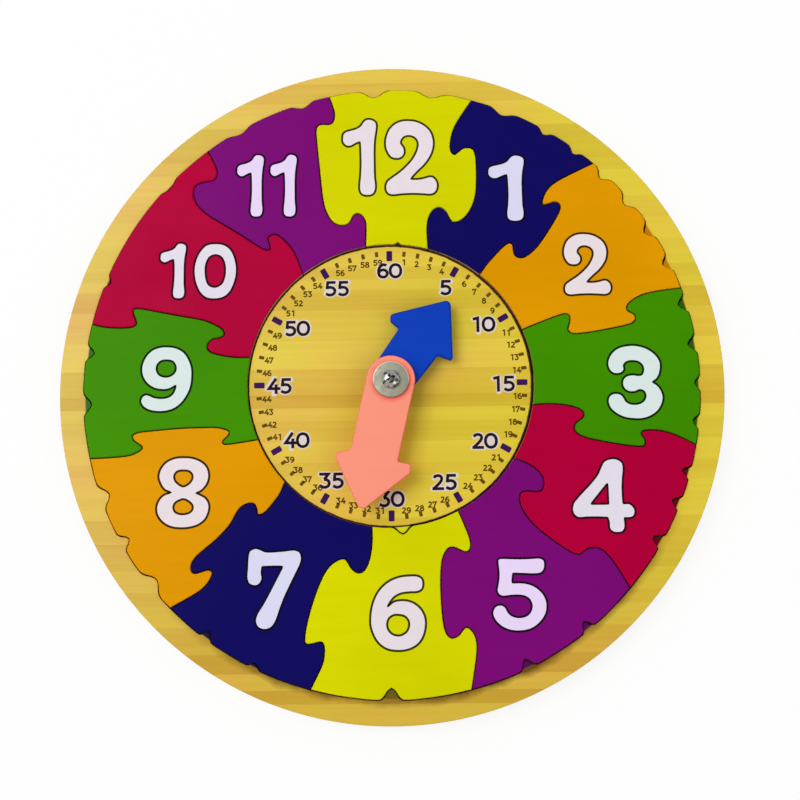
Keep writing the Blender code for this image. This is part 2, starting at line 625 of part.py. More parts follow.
def main():
    """Build the whole clock puzzle."""
    clear_scene()
    wood = make_material("varnished_wood", PALE_WOOD, 0.3)
    back_wood = make_material("back_wood", BACK_WOOD, 0.6)
    steel = make_material("zinc_steel", STEEL, 0.35, 1.0)
    plastic = make_material("black_plastic", BLACK_PLASTIC, 0.5)
    build_board(wood, back_wood)
    build_hour_pieces()
    build_hands()
    build_washers(steel, plastic)
    build_nut(steel)
    build_screw(steel)


main()
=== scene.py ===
"""Looks of the wooden clock puzzle: painted hour pieces, varnished board, hands and screw."""

import logging
import math
from dataclasses import dataclass, field
from enum import Enum

import bmesh
import bpy
from mathutils import Matrix, Vector
from mathutils.geometry import delaunay_2d_cdt


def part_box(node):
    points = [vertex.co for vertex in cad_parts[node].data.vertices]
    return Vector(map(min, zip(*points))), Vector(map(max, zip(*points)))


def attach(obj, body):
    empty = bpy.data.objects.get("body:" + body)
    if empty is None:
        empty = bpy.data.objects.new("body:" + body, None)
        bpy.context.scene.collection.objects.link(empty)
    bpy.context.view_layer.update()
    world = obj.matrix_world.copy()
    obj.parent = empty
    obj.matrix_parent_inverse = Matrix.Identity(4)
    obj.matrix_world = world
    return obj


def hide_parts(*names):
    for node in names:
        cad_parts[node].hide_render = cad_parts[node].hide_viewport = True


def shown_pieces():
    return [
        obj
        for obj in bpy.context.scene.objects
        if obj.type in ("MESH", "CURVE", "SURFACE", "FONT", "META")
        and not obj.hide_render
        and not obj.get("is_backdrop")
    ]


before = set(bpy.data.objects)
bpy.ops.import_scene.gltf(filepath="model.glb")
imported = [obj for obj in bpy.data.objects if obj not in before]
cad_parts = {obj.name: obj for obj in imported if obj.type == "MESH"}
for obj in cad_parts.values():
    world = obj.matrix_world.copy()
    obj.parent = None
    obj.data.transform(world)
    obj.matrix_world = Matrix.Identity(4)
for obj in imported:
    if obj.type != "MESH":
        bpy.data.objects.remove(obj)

LOG = logging.getLogger("clock_puzzle")
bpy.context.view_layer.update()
MM = 0.001
CORNER = True


# ---------------------------------------------------------------- colours

Colour = tuple[float, float, float]
Loop = list[Vector]


def linear(red: int, green: int, blue: int) -> Colour:
    """Return a colour in linear light.

    Args:
        red: Red from 0 to 255, as a screen shows it.
        green: Green from 0 to 255.
        blue: Blue from 0 to 255.

    Returns:
        The same colour as linear red, green and blue from 0 to 1.
    """
    channels = []
    for value in (red, green, blue):
        share = value / 255
        channels.append(share / 12.92 if share <= 0.04045 else ((share + 0.055) / 1.055) ** 2.4)
    return tuple(channels)


def rgba(colour: Colour) -> tuple[float, float, float, float]:
    """Return a colour with full opacity."""
    return (*colour, 1.0)


class Paint(Enum):
    """The six gloss colours of the hour pieces, in the order of the hours from 12."""

    YELLOW = linear(223, 223, 0)
    NAVY = linear(19, 13, 97)
    ORANGE = linear(233, 158, 0)
    GREEN = linear(67, 149, 0)
    RED = linear(187, 0, 60)
    PURPLE = linear(128, 12, 122)

    @property
    def slot(self) -> str:
        """Return the name of this paint's slot in the record."""
        return f"paint_{self.name.lower()}"


class Cap(Enum):
    """How the end of a printed stroke is finished."""

    SQUARE = "square"
    ROUND = "round"


# ---------------------------------------------------------------- node trees

class Graph:
    """Short calls that add nodes to a shader or geometry tree and wire them."""

    def __init__(self, tree: bpy.types.NodeTree) -> None:
        """Start on an empty or existing tree."""
        self.tree = tree

    def link(self, source: object, target: bpy.types.NodeSocket) -> None:
        """Join an output to an input, or write a plain value to the input.

        Args:
            source: An output socket, or a number, vector or colour.
            target: The input socket.
        """
        if isinstance(source, bpy.types.NodeSocket):
            self.tree.links.new(source, target)
        else:
            target.default_value = source

    def add(self, kind: str, inputs: dict | None = None, **settings: object) -> bpy.types.Node:
        """Add a node.

        Args:
            kind: The node's type name.
            inputs: Values or outputs for its inputs, by name or number.
            **settings: The node's own properties.

        Returns:
            The new node.
        """
        node = self.tree.nodes.new(kind)
        for name, value in settings.items():
            setattr(node, name, value)
        for key, value in (inputs or {}).items():
            self.link(value, node.inputs[key])
        return node

    def math(self, operation: str, *values: object) -> bpy.types.NodeSocket:
        """Add a Math node and return its output.

        Args:
            operation: The operation's name.
            *values: Its operands, each a number or an output.

        Returns:
            The result's socket.
        """
        node = self.add("ShaderNodeMath", dict(enumerate(values)), operation=operation)
        return node.outputs[0]

    def mix(self, factor: object, first: object, second: object,
            blend: str = "MIX") -> bpy.types.NodeSocket:
        """Mix two colours and return the result's socket.

        Args:
            factor: Share of the second colour.
            first: The first colour or output.
            second: The second colour or output.
            blend: The blend mode.

        Returns:
            The mixed colour's socket.
        """
        node = self.add("ShaderNodeMix", {}, data_type="RGBA", blend_type=blend)
        self.link(factor, node.inputs[0])
        for value, socket in ((first, node.inputs[6]), (second, node.inputs[7])):
            self.link(rgba(value) if isinstance(value, tuple) and len(value) == 3 else value,
                      socket)
        return node.outputs[2]

    def remap(self, value: object, low: float, high: float, new_low: float = 0.0,
              new_high: float = 1.0) -> bpy.types.NodeSocket:
        """Map a value from one range to another, held within the new one.

        Args:
            value: The value's output.
            low: Start of its range.
            high: End of its range.
            new_low: Start of the new range.
            new_high: End of the new range.

        Returns:
            The mapped value's socket.
        """
        node = self.add("ShaderNodeMapRange", {0: value, 1: low, 2: high, 3: new_low, 4: new_high})
        return node.outputs[0]

    def place(self) -> tuple[bpy.types.NodeSocket, ...]:
        """Return the sockets of the surface's own x, y and z."""
        spot = self.add("ShaderNodeTexCoord")
        split = self.add("ShaderNodeSeparateXYZ", {0: spot.outputs["Object"]})
        return tuple(split.outputs)

    def polar(self) -> tuple[bpy.types.NodeSocket, bpy.types.NodeSocket]:
        """Return the sockets of the distance from the centre and of the turn, 0 to 1, from 12."""
        x, y, _ = self.place()
        radius = self.math("SQRT", self.math("ADD", self.math("MULTIPLY", x, x),
                                             self.math("MULTIPLY", y, y)))
        turn = self.math("DIVIDE", self.math("ARCTAN2", x, y), math.tau)
        return radius, self.math("FRACT", self.math("ADD", turn, 1.0))

    def from_pivot(self) -> tuple[bpy.types.NodeSocket, ...]:
        """Return the sockets of x, y and z from the centre screw and of the distance from it."""
        x, y, z = self.place()
        off = self.math("SUBTRACT", x, PIVOT.x)
        away = self.math("SQRT", self.math("ADD", self.math("MULTIPLY", off, off),
                                           self.math("MULTIPLY", y, y)))
        return off, y, z, away

    def by_hour(self, turn: bpy.types.NodeSocket,
                stops: tuple[tuple[float, float], ...]) -> bpy.types.NodeSocket:
        """Return the socket of a level that changes smoothly round the clock.

        Args:
            turn: The turn's output.
            stops: Hours and levels.

        Returns:
            The level's socket.
        """
        ramp = self.add("ShaderNodeValToRGB", {0: turn})
        points = ramp.color_ramp.elements
        for order, (hours, level) in enumerate(stops):
            point = points[order] if order < 2 else points.new(hours / 12)
            point.position = hours / 12
            point.color = (level, level, level, 1.0)
        return ramp.outputs[0]

    def vector(self, x: object, y: object, z: object) -> bpy.types.NodeSocket:
        """Return the socket of a vector made of three values."""
        return self.add("ShaderNodeCombineXYZ", {0: x, 1: y, 2: z}).outputs[0]

    def noise(self, scales: tuple[float, float, float], detail: float = 2.0,
              shift: object = 0.0) -> bpy.types.NodeSocket:
        """Return the socket of a noise whose grain differs along x, y and z.

        Args:
            scales: Features for each metre along x, y and z.
            detail: Octaves of finer noise.
            shift: Number or output that moves the pattern along z.

        Returns:
            The noise value's socket.
        """
        x, y, z = self.place()
        deep = self.math("ADD", self.math("MULTIPLY", z, scales[2]), shift)
        spot = self.vector(self.math("MULTIPLY", x, scales[0]),
                           self.math("MULTIPLY", y, scales[1]), deep)
        node = self.add("ShaderNodeTexNoise", {"Vector": spot, "Scale": 1.0, "Detail": detail})
        return node.outputs[0]

    def group(self, tree: bpy.types.NodeTree, **inputs: object) -> bpy.types.Node:
        """Place a group and set its inputs, with _ for a space in their names.

        Args:
            tree: The group's tree.
            **inputs: Values or outputs by input name.

        Returns:
            The group's node.
        """
        node = self.tree.nodes.new("ShaderNodeGroup")
        node.node_tree = tree
        for name, value in inputs.items():
            self.link(value, node.inputs[name.replace("_", " ")])
        return node


def new_group(name: str, inputs: dict[str, str], outputs: dict[str, str],
              kind: str = "ShaderNodeTree") -> tuple[Graph, bpy.types.Node, bpy.types.Node]:
    """Start a node group with named sockets.

    Args:
        name: The group's name.
        inputs: Socket types by input name.
        outputs: Socket types by output name.
        kind: The tree's type.

    Returns:
        The graph, its input node and its output node.
    """
    tree = bpy.data.node_groups.new(name, kind)
    for side, sockets in (("INPUT", inputs), ("OUTPUT", outputs)):
        for socket_name, socket_type in sockets.items():
            tree.interface.new_socket(name=socket_name, in_out=side,
                                      socket_type=f"NodeSocket{socket_type}")
    graph = Graph(tree)
    return graph, graph.add("NodeGroupInput"), graph.add("NodeGroupOutput")


class ShaderGroups:
    """Shared surface effects, each built once as a node group."""

    def __init__(self) -> None:
        """Build every group."""
        self.panel = self._panel()
        self.rows = self._rows()
        self.grain = self._grain()
        self.mottle = self._mottle()
        self.burnt = self._burnt()
        self.wear = self._wear()
        self.handling = self._handling()

    @staticmethod
    def _panel() -> bpy.types.NodeTree:
        """Build the staves of the panel that rim and dial were both cut from.

        Returns:
            The group, which puts out each stave's tone, 0 where it is pale.
        """
        graph, _, out = new_group("Panel staves", {}, {"Tone": "Float"})
        _, y, _ = graph.place()
        span = PANEL_STAVES[0][0] * MM - PANEL_STAVES[-1][0] * MM
        ramp = graph.add("ShaderNodeValToRGB", {0: graph.math(
            "DIVIDE", graph.math("ADD", y, span / 2), span)})
        ramp.color_ramp.interpolation = "CONSTANT"
        stops = ramp.color_ramp.elements
        stops.remove(stops[1])
        rising = list(reversed(PANEL_STAVES))
        for order, (low, tone) in enumerate(rising[:-1]):
            stop = stops[0] if not order else stops.new(low * MM / span + 0.5)
            stop.color = (tone, tone, tone, 1.0)
        graph.link(ramp.outputs[0], out.inputs[0])
        return graph.tree

    @staticmethod
    def _rows() -> bpy.types.NodeTree:
        """Build staves of one width, each of a tone of its own.

        Returns:
            The group, which puts out each stave's tone.
        """
        graph, given, out = new_group("Even staves", {"Stave": "Float", "Seed": "Float"},
                                      {"Tone": "Float"})
        _, y, _ = graph.place()
        row = graph.math("FLOOR", graph.math("ADD", graph.math(
            "DIVIDE", y, given.outputs["Stave"]), given.outputs["Seed"]))
        tone = graph.add("ShaderNodeTexWhiteNoise", {"W": row}, noise_dimensions="1D").outputs[0]
        graph.link(tone, out.inputs[0])
        return graph.tree

    @staticmethod
    def _grain() -> bpy.types.NodeTree:
        """Build the grain of glued staves that run along x.

        Returns:
            The group, which puts out colour, roughness and height.
        """
        graph, given, out = new_group(
            "Stave grain",
            {"Pale": "Color", "Dark": "Color", "Tone": "Float", "Contrast": "Float"},
            {"Color": "Color", "Roughness": "Float", "Height": "Float"})
        tone = given.outputs["Tone"]
        shift = graph.math("MULTIPLY", tone, 47.0)
        figure = graph.noise((6.0, 80.0, 60.0), 3.0, shift)
        rings = graph.noise((4.0, 420.0, 180.0), 2.0, shift)
        fine = graph.noise((40.0, 1700.0, 900.0), 2.0, shift)
        share = tone
        for layer, weight in ((figure, 1.0), (rings, 0.8), (fine, 0.4)):
            streak = graph.math("MULTIPLY", graph.math("SUBTRACT", layer, 0.5), weight)
            share = graph.math("ADD", share, graph.math(
                "MULTIPLY", streak, given.outputs["Contrast"]))
        share = graph.add("ShaderNodeClamp", {0: share}).outputs[0]
        graph.link(graph.mix(share, given.outputs["Pale"], given.outputs["Dark"]), out.inputs[0])
        graph.link(graph.remap(fine, 0.3, 0.7, 0.26, 0.38), out.inputs[1])
        graph.link(graph.math("ADD", fine, rings), out.inputs[2])
        return graph.tree

    @staticmethod
    def _mottle() -> bpy.types.NodeTree:
        """Build the slight unevenness of sprayed gloss paint.

        Returns:
            The group, which puts out colour, roughness and height.
        """
        graph, given, out = new_group(
            "Paint mottle", {"Color": "Color", "Shade": "Color", "Amount": "Float"},
            {"Color": "Color", "Roughness": "Float", "Height": "Float"})
        broad = graph.remap(graph.noise((11.0, 14.0, 11.0), 2.0), 0.3, 0.7)
        brushed = graph.remap(graph.noise((30.0, 260.0, 30.0), 2.0), 0.35, 0.75)
        share = graph.math("MULTIPLY", graph.math("ADD", broad, graph.math(
            "MULTIPLY", brushed, 0.35)), given.outputs["Amount"])
        graph.link(graph.mix(share, given.outputs["Color"], given.outputs["Shade"]), out.inputs[0])
        peel = graph.noise((420.0, 420.0, 420.0), 1.0)
        graph.link(graph.remap(graph.noise((26.0, 30.0, 26.0), 3.0), 0.3, 0.7, 0.2, 0.3),
                   out.inputs[1])
        graph.link(graph.math("ADD", peel, graph.math("MULTIPLY", brushed, 0.4)), out.inputs[2])
        return graph.tree

    @staticmethod
    def _burnt() -> bpy.types.NodeTree:
        """Build the toasted, finely ribbed look of a cut wooden edge.

        Returns:
            The group, which puts out colour, roughness and height.
        """
        graph, given, out = new_group(
            "Toasted edge", {"Pale": "Color", "Char": "Color", "Toast": "Float"},
            {"Color": "Color", "Roughness": "Float", "Height": "Float"})
        ribs = graph.noise((1500.0, 1500.0, 25.0), 2.0)
        layers = graph.noise((12.0, 12.0, 800.0), 2.0)
        patches = graph.noise((38.0, 38.0, 90.0), 2.0)
        share = graph.math("ADD", graph.remap(patches, 0.36, 0.6, -0.35, 0.35),
                           given.outputs["Toast"])
        share = graph.math("ADD", share, graph.remap(ribs, 0.3, 0.7, -0.22, 0.22))
        share = graph.add("ShaderNodeClamp", {0: graph.math(
            "ADD", share, graph.remap(layers, 0.35, 0.65, -0.12, 0.12))}).outputs[0]
        graph.link(graph.mix(share, given.outputs["Pale"], given.outputs["Char"]), out.inputs[0])
        graph.link(graph.remap(ribs, 0.3, 0.7, 0.6, 0.8), out.inputs[1])
        graph.link(graph.math("ADD", ribs, graph.math("MULTIPLY", layers, 0.5)), out.inputs[2])
        return graph.tree

    @staticmethod
    def _wear() -> bpy.types.NodeTree:
        """Build the masks of a plate's cut wall and of the worn line along its edge.

        Returns:
            The group, which puts out the wall's mask and the wear's mask.
        """
        graph, given, out = new_group(
            "Edge wear", {"Amount": "Float"}, {"Wall": "Float", "Wear": "Float"})
        drop = graph.add("ShaderNodeAttribute", {}, attribute_name="drop").outputs["Fac"]
        ragged = graph.remap(graph.noise((500.0, 500.0, 500.0), 2.0), 0.3, 0.7, -0.12, 0.12)
        wall = graph.remap(graph.math("ADD", drop, ragged), 0.78, 0.9)
        band = graph.math("SUBTRACT", 1.0, graph.math("ABSOLUTE", graph.math(
            "SUBTRACT", graph.math("MULTIPLY", drop, 2.0), 1.1)))
        rubbed = graph.remap(graph.noise((26.0, 26.0, 26.0), 3.0), 0.5, 0.66)
        flecks = graph.remap(graph.noise((700.0, 700.0, 700.0), 2.0), 0.35, 0.6)
        worn = graph.math("MULTIPLY", graph.math("MULTIPLY", band, rubbed), flecks)
        graph.link(wall, out.inputs[0])
        graph.link(graph.remap(graph.math("MULTIPLY", worn, given.outputs["Amount"]), 0.25, 0.55),
                   out.inputs[1])
        return graph.tree

    @staticmethod
    def _handling() -> bpy.types.NodeTree:
        """Build the faint smudges and hairline scratches of a handled toy.

        Returns:
            The group, which puts out a roughness and a height.
        """
        graph, given, out = new_group(
            "Handling marks", {"Roughness": "Float", "Amount": "Float"},
            {"Roughness": "Float", "Height": "Float"})
        smudge = graph.remap(graph.noise((40.0, 34.0, 40.0), 4.0), 0.45, 0.7)
        lines = graph.noise((90.0, 2600.0, 90.0), 1.0)
        scratch = graph.remap(lines, 0.74, 0.8)
        rough = graph.math("ADD", given.outputs["Roughness"], graph.math(
            "MULTIPLY", smudge, given.outputs["Amount"]))
        graph.link(rough, out.inputs[0])
        graph.link(graph.math("MULTIPLY", scratch, -1.0), out.inputs[1])
        return graph.tree


# The panel's staves from its upper edge down: each one's lower edge in millimetres and tone
PANEL_STAVES: tuple = (
    (151.0, 0.0), (142.0, 0.1), (133.0, 0.4), (121.0, 0.1), (104.0, 0.5), (99.0, 0.4),
    (85.0, 0.1), (76.0, 0.3), (66.0, 0.1), (54.0, 0.2), (48.0, 0.4), (43.0, 0.2), (34.0, 0.6),
    (19.0, 0.3), (7.0, 0.0), (-5.5, 0.5), (-11.5, 0.8), (-17.5, 0.2), (-26.5, 0.4),
    (-35.5, 0.2), (-41.5, 0.4), (-60.5, 0.2), (-71.0, 0.5), (-83.5, 0.6), (-92.5, 0.4),
    (-98.5, 0.6), (-107.5, 0.4), (-119.5, 0.6), (-128.5, 0.9), (-134.5, 0.5), (-140.5, 1.0),
    (-151.0, 0.5),
)
GROUPS = ShaderGroups()


# ---------------------------------------------------------------- finishes

def start_material(name: str) -> tuple[bpy.types.Material, Graph, bpy.types.Node]:
    """Start a material with its shader.

    Args:
        name: The material's name.

    Returns:
        The material, its graph and its Principled BSDF.
    """
    material = bpy.data.materials.new(name)
    material.use_nodes = True
    return material, Graph(material.node_tree), material.node_tree.nodes["Principled BSDF"]


def bump(graph: Graph, shader: bpy.types.Node, height: object, strength: float,
         depth: float) -> None:
    """Give a shader a bumped normal.

    Args:
        graph: The material's graph.
        shader: Its Principled BSDF.
        height: The height's output.
        strength: How much of the bump shows.
        depth: The bump's depth in metres.
    """
    node = graph.add("ShaderNodeBump", {"Strength": strength, "Distance": depth,
                                        "Height": height})
    graph.link(node.outputs[0], shader.inputs["Normal"])


@dataclass(frozen=True)
class WoodFinish:
    """Varnished or bare wood of glued staves, with toasted cut edges."""

    name: str
    pale: Colour
    dark: Colour
    stave: float = 0.0
    contrast: float = 0.8
    seed: float = 0.3
    toast: float = 0.75
    varnish: float = 0.1
    roughness_shift: float = 0.0

    def material(self, overlay: object = None) -> bpy.types.Material:
        """Build the material.

        Args:
            overlay: A function that takes the graph and the colour's output and returns the
                colour with any paint on it.

        Returns:
            The finished material.
        """
        material, graph, shader = start_material(self.name)
        staves = graph.group(GROUPS.rows, Stave=self.stave, Seed=self.seed) if self.stave \
            else graph.group(GROUPS.panel)
        grain = graph.group(GROUPS.grain, Pale=rgba(self.pale), Dark=rgba(self.dark),
                            Tone=staves.outputs[0], Contrast=self.contrast)
        x, y, _ = graph.place()
        cloud = graph.remap(graph.noise((9.0, 13.0, 9.0), 2.0), 0.35, 0.65, -0.03, 0.03)
        fresh = graph.remap(graph.math("ADD", x, cloud), -0.13, 0.09)
        tint = graph.mix(fresh, (1.02, 0.96, 1.75), (1.0, 1.04, 0.8))
        # Painted shade: the wood is a little darker towards the south side.
        south = graph.remap(graph.math("ADD", y, cloud), -0.12, -0.05, 1.0, 0.0)
        tint = graph.mix(south, tint, (0.96, 0.94, 1.0))
        hue = graph.remap(graph.noise((17.0, 30.0, 17.0), 3.0), 0.36, 0.64)
        tint = graph.mix(1.0, tint, graph.mix(hue, (1.03, 0.95, 1.1), (0.98, 1.05, 0.9)),
                         "MULTIPLY")
        colour = graph.mix(1.0, grain.outputs[0], tint, "MULTIPLY")
        if overlay:
            colour = overlay(graph, colour)
        edge = graph.group(GROUPS.wear, Amount=0.0)
        cut = graph.group(GROUPS.burnt, Pale=rgba(linear(196, 150, 92)),
                          Char=rgba(linear(58, 36, 20)), Toast=self.toast)
        graph.link(graph.mix(edge.outputs[0], colour, cut.outputs[0]),
                   shader.inputs["Base Color"])
        marks = graph.group(GROUPS.handling, Roughness=grain.outputs[1], Amount=0.12)
        rough = graph.add("ShaderNodeMix", {0: edge.outputs[0], 2: marks.outputs[0],
                                            3: cut.outputs[1]}).outputs[0]
        graph.link(graph.math("ADD", rough, self.roughness_shift), shader.inputs["Roughness"])
        shader.inputs["Coat Weight"].default_value = self.varnish
        shader.inputs["Coat Roughness"].default_value = 0.22
        shader.inputs["Specular IOR Level"].default_value = 0.06
        height = graph.math("ADD", grain.outputs[2], marks.outputs[1])
        bump(graph, shader, height, 0.25, 0.00006)
        return material


@dataclass(frozen=True)
class PaintFinish:
    """Gloss paint on wood: mottled, rubbed along its edges, with bare toasted walls, and where a
    rim colour is given, painted shade on its edges and a painted shadow of the washer.
    """

    name: str
    colour: Colour
    shade: Colour
    walls_painted: bool = False
    wear: float = 0.3
    gloss: float = 0.018
    toast: float = 0.8
    # Colour of painted shade on the rounded edges and walls and of a painted shadow of the washer
    # round the pivot, heaviest to the lower right, and how far that shadow reaches.
    rim: Colour | None = None
    ring_reach: float = 10.4 * MM

    def material(self) -> bpy.types.Material:
        """Build the material.

        Returns:
            The finished material.
        """
        material, graph, shader = start_material(self.name)
        paint = graph.group(GROUPS.mottle, Color=rgba(self.colour), Shade=rgba(self.shade),
                            Amount=0.8)
        edge = graph.group(GROUPS.wear, Amount=self.wear)
        off, y, z, away = graph.from_pivot()
        radius, _ = graph.polar()
        inner = graph.remap(radius, 65.4 * MM, 66.2 * MM, 1.0, 0.0)
        fresh = graph.math("MULTIPLY", inner, 0.5)
        cut = graph.group(GROUPS.burnt, Pale=rgba(linear(205, 160, 104)),
                          Char=rgba(linear(44, 26, 16)),
                          Toast=graph.math("SUBTRACT", self.toast, fresh))
        bare = rgba(linear(214, 170, 118))
        colour = paint.outputs[0]
        # Painted shade: a darker colour on the rounded edges and walls, and a painted shadow of
        # the washer in a ring round the pivot, heaviest to the lower right.
        if self.rim:
            drop = graph.add("ShaderNodeAttribute", {}, attribute_name="drop").outputs["Fac"]
            lean = graph.remap(graph.math("SUBTRACT", off, y), -9.0 * MM, 9.0 * MM, 0.3, 0.95)
            washer_shadow = graph.math("MULTIPLY", lean, graph.remap(away, 8.2 * MM, self.ring_reach,
                                                               1.0, 0.0))
            share = graph.math("MAXIMUM", graph.remap(drop, 0.0, 0.75, 0.0, 0.7), washer_shadow)
            colour = graph.mix(share, colour, self.rim)
        colour = graph.mix(edge.outputs[1], colour, bare)
        rough = paint.outputs[1]
        if not self.walls_painted:
            drips = graph.remap(graph.noise((160.0, 160.0, 30.0), 2.0), 0.35, 0.65, -0.9 * MM,
                                0.9 * MM)
            bare_wall = graph.remap(graph.math("ADD", z, drips), 9.6 * MM, 11.8 * MM, 1.0, 0.25)
            share = graph.math("MULTIPLY", edge.outputs[0],
                               graph.math("MAXIMUM", bare_wall, inner))
            colour = graph.mix(share, colour, cut.outputs[0])
            rough = graph.add("ShaderNodeMix", {0: share, 2: rough,
                                                3: cut.outputs[1]}).outputs[0]
        marks = graph.group(GROUPS.handling, Roughness=rough, Amount=0.1)
        graph.link(colour, shader.inputs["Base Color"])
        graph.link(marks.outputs[0], shader.inputs["Roughness"])
        shader.inputs["Specular IOR Level"].default_value = self.gloss
        bump(graph, shader, graph.math("ADD", paint.outputs[2], marks.outputs[1]), 0.18, 0.00005)
        return material


@dataclass(frozen=True)
class InkFinish:
    """Printed ink, flat and slightly uneven."""

    name: str
    colour: Colour
    shade: Colour
    roughness: float = 0.42

    def material(self) -> bpy.types.Material:
        """Build the material.

        Returns:
            The finished material.
        """
        material, graph, shader = start_material(self.name)
        speckle = graph.remap(graph.noise((260.0, 260.0, 260.0), 3.0), 0.38, 0.7)
        broad = graph.remap(graph.noise((35.0, 35.0, 35.0), 2.0), 0.35, 0.65)
        share = graph.math("MULTIPLY", graph.math("ADD", speckle, broad), 0.5)
        graph.link(graph.mix(share, self.colour, self.shade), shader.inputs["Base Color"])
        graph.link(graph.remap(speckle, 0.0, 1.0, self.roughness - 0.04, self.roughness + 0.08),
                   shader.inputs["Roughness"])
        shader.inputs["Specular IOR Level"].default_value = 0.05
        bump(graph, shader, speckle, 0.1, 0.00002)
        return material


@dataclass(frozen=True)
class MetalFinish:
    """Zinc or bright steel with turning marks about the centre screw, dark patches of painted
    reflection and a painted highlight along its upper edge.
    """

    name: str
    colour: Colour
    shade: Colour
    roughness: float
    rings: float = 5200.0
    # Share of dark patches that are painted reflection, and their colour.
    smudge: float = 0.0
    smudge_colour: Colour = linear(58, 50, 42)
    # Where a painted highlight starts on the outer edge, and its colour.
    edge_from: float = 7.55 * MM
    edge_colour: Colour = linear(250, 240, 214)

    def material(self) -> bpy.types.Material:
        """Build the material.

        Returns:
            The finished material.
        """
        material, graph, shader = start_material(self.name)
        _, y, z, far = graph.from_pivot()
        spot = graph.vector(graph.math("MULTIPLY", far, self.rings), graph.math(
            "MULTIPLY", z, self.rings), 0.0)
        lathe = graph.add("ShaderNodeTexNoise", {"Vector": spot, "Scale": 1.0,
                                                 "Detail": 1.0}).outputs[0]
        bloom = graph.remap(graph.noise((420.0, 420.0, 420.0), 4.0), 0.35, 0.7)
        # Dark patches: painted reflection.
        spots = graph.remap(graph.noise((620.0, 620.0, 620.0), 2.0), 0.47, 0.58, 0.0, self.smudge)
        colour = graph.mix(spots, graph.mix(bloom, self.colour, self.shade), self.smudge_colour)
        # Painted highlight: a pale ring on the upper side of the outer edge.
        lit = graph.math("MULTIPLY", graph.remap(far, self.edge_from, self.edge_from + 0.2 * MM),
                         graph.remap(y, -2.5 * MM, 0.5 * MM))
        graph.link(graph.mix(lit, colour, self.edge_colour), shader.inputs["Base Color"])
        rough = graph.math("ADD", graph.remap(bloom, 0.0, 1.0, self.roughness,
                                              self.roughness + 0.16),
                           graph.remap(lathe, 0.3, 0.7, -0.05, 0.05))
        graph.link(rough, shader.inputs["Roughness"])
        shader.inputs["Metallic"].default_value = 1.0
        bump(graph, shader, graph.math("ADD", lathe, graph.math("MULTIPLY", bloom, 0.1)), 0.12,
             0.00002)
        return material


@dataclass(frozen=True)
class PlasticFinish:
    """Moulded black plastic with a fine matt texture."""

    name: str
    colour: Colour
    sheen: Colour

    def material(self) -> bpy.types.Material:
        """Build the material.

        Returns:
            The finished material.
        """
        material, graph, shader = start_material(self.name)
        grit = graph.remap(graph.noise((2200.0, 2200.0, 2200.0), 2.0), 0.3, 0.7)
        cloud = graph.remap(graph.noise((300.0, 300.0, 300.0), 2.0), 0.3, 0.7)
        graph.link(graph.mix(cloud, self.colour, self.sheen), shader.inputs["Base Color"])
        graph.link(graph.remap(grit, 0.0, 1.0, 0.4, 0.55), shader.inputs["Roughness"])
        bump(graph, shader, grit, 0.2, 0.00003)
        return material


# ---------------------------------------------------------------- outlines and plates

PIVOT = Vector((0.55 * MM, 0.0))


def clock_point(radius: float, degrees: float) -> Vector:
    """Return the point at a clock angle, clockwise from 12."""
    angle = math.radians(degrees)
    return Vector((radius * math.sin(angle), radius * math.cos(angle)))


def circle(radius: float, segments: int, centre: Vector = Vector((0.0, 0.0))) -> Loop:
    """Return the corners of a circle."""
    return [centre + clock_point(radius, 360.0 * step / segments) for step in range(segments)]


def loop_area(loop: Loop) -> float:
    """Return a loop's signed area, positive where it runs anticlockwise."""
    return sum(loop[index - 1].cross(point) for index, point in enumerate(loop)) / 2


def moved_sideways(loop: Loop, distance: float, closed: bool = True) -> Loop:
    """Return points moved to the right of the way they run.

    Args:
        loop: The points.
        distance: How far they move.
        closed: Whether the last point joins the first.

    Returns:
        The moved points.
    """
    moved = []
    count = len(loop)
    for index, point in enumerate(loop):
        along_in = (point - loop[index - 1]).normalized()
        along_out = (loop[(index + 1) % count] - point).normalized()
        if not closed and index == 0:
            along_in = along_out
        if not closed and index == count - 1:
            along_out = along_in
        along = (along_in + along_out).normalized()
        side = Vector((along.y, -along.x))
        moved.append(point + side * distance / max(along.dot(along_in), 0.6))
    return moved


def filleted(corners: tuple, spacing: float) -> Loop:
    """Return a closed outline whose corners are rounded, each to its own radius.

    Args:
        corners: Across, up and radius of each corner, in millimetres.
        spacing: About how far apart an arc's points are.

    Returns:
        The outline.
    """
    points = [Vector(corner[:2]) * MM for corner in corners]
    outline = []
    for index, corner in enumerate(points):
        radius = corners[index][2] * MM
        before = (points[index - 1] - corner).normalized()
        after = (points[(index + 1) % len(points)] - corner).normalized()
        half = before.angle(after) / 2
        centre = corner + (before + after).normalized() * radius / math.sin(half)
        start = corner + before * radius / math.tan(half) - centre
        bend = math.copysign(math.pi - 2 * half, after.cross(before))
        steps = max(4, round(abs(bend) * radius / spacing))
        outline += [centre + Matrix.Rotation(bend * step / steps, 2) @ start
                    for step in range(steps + 1)]
    return outline


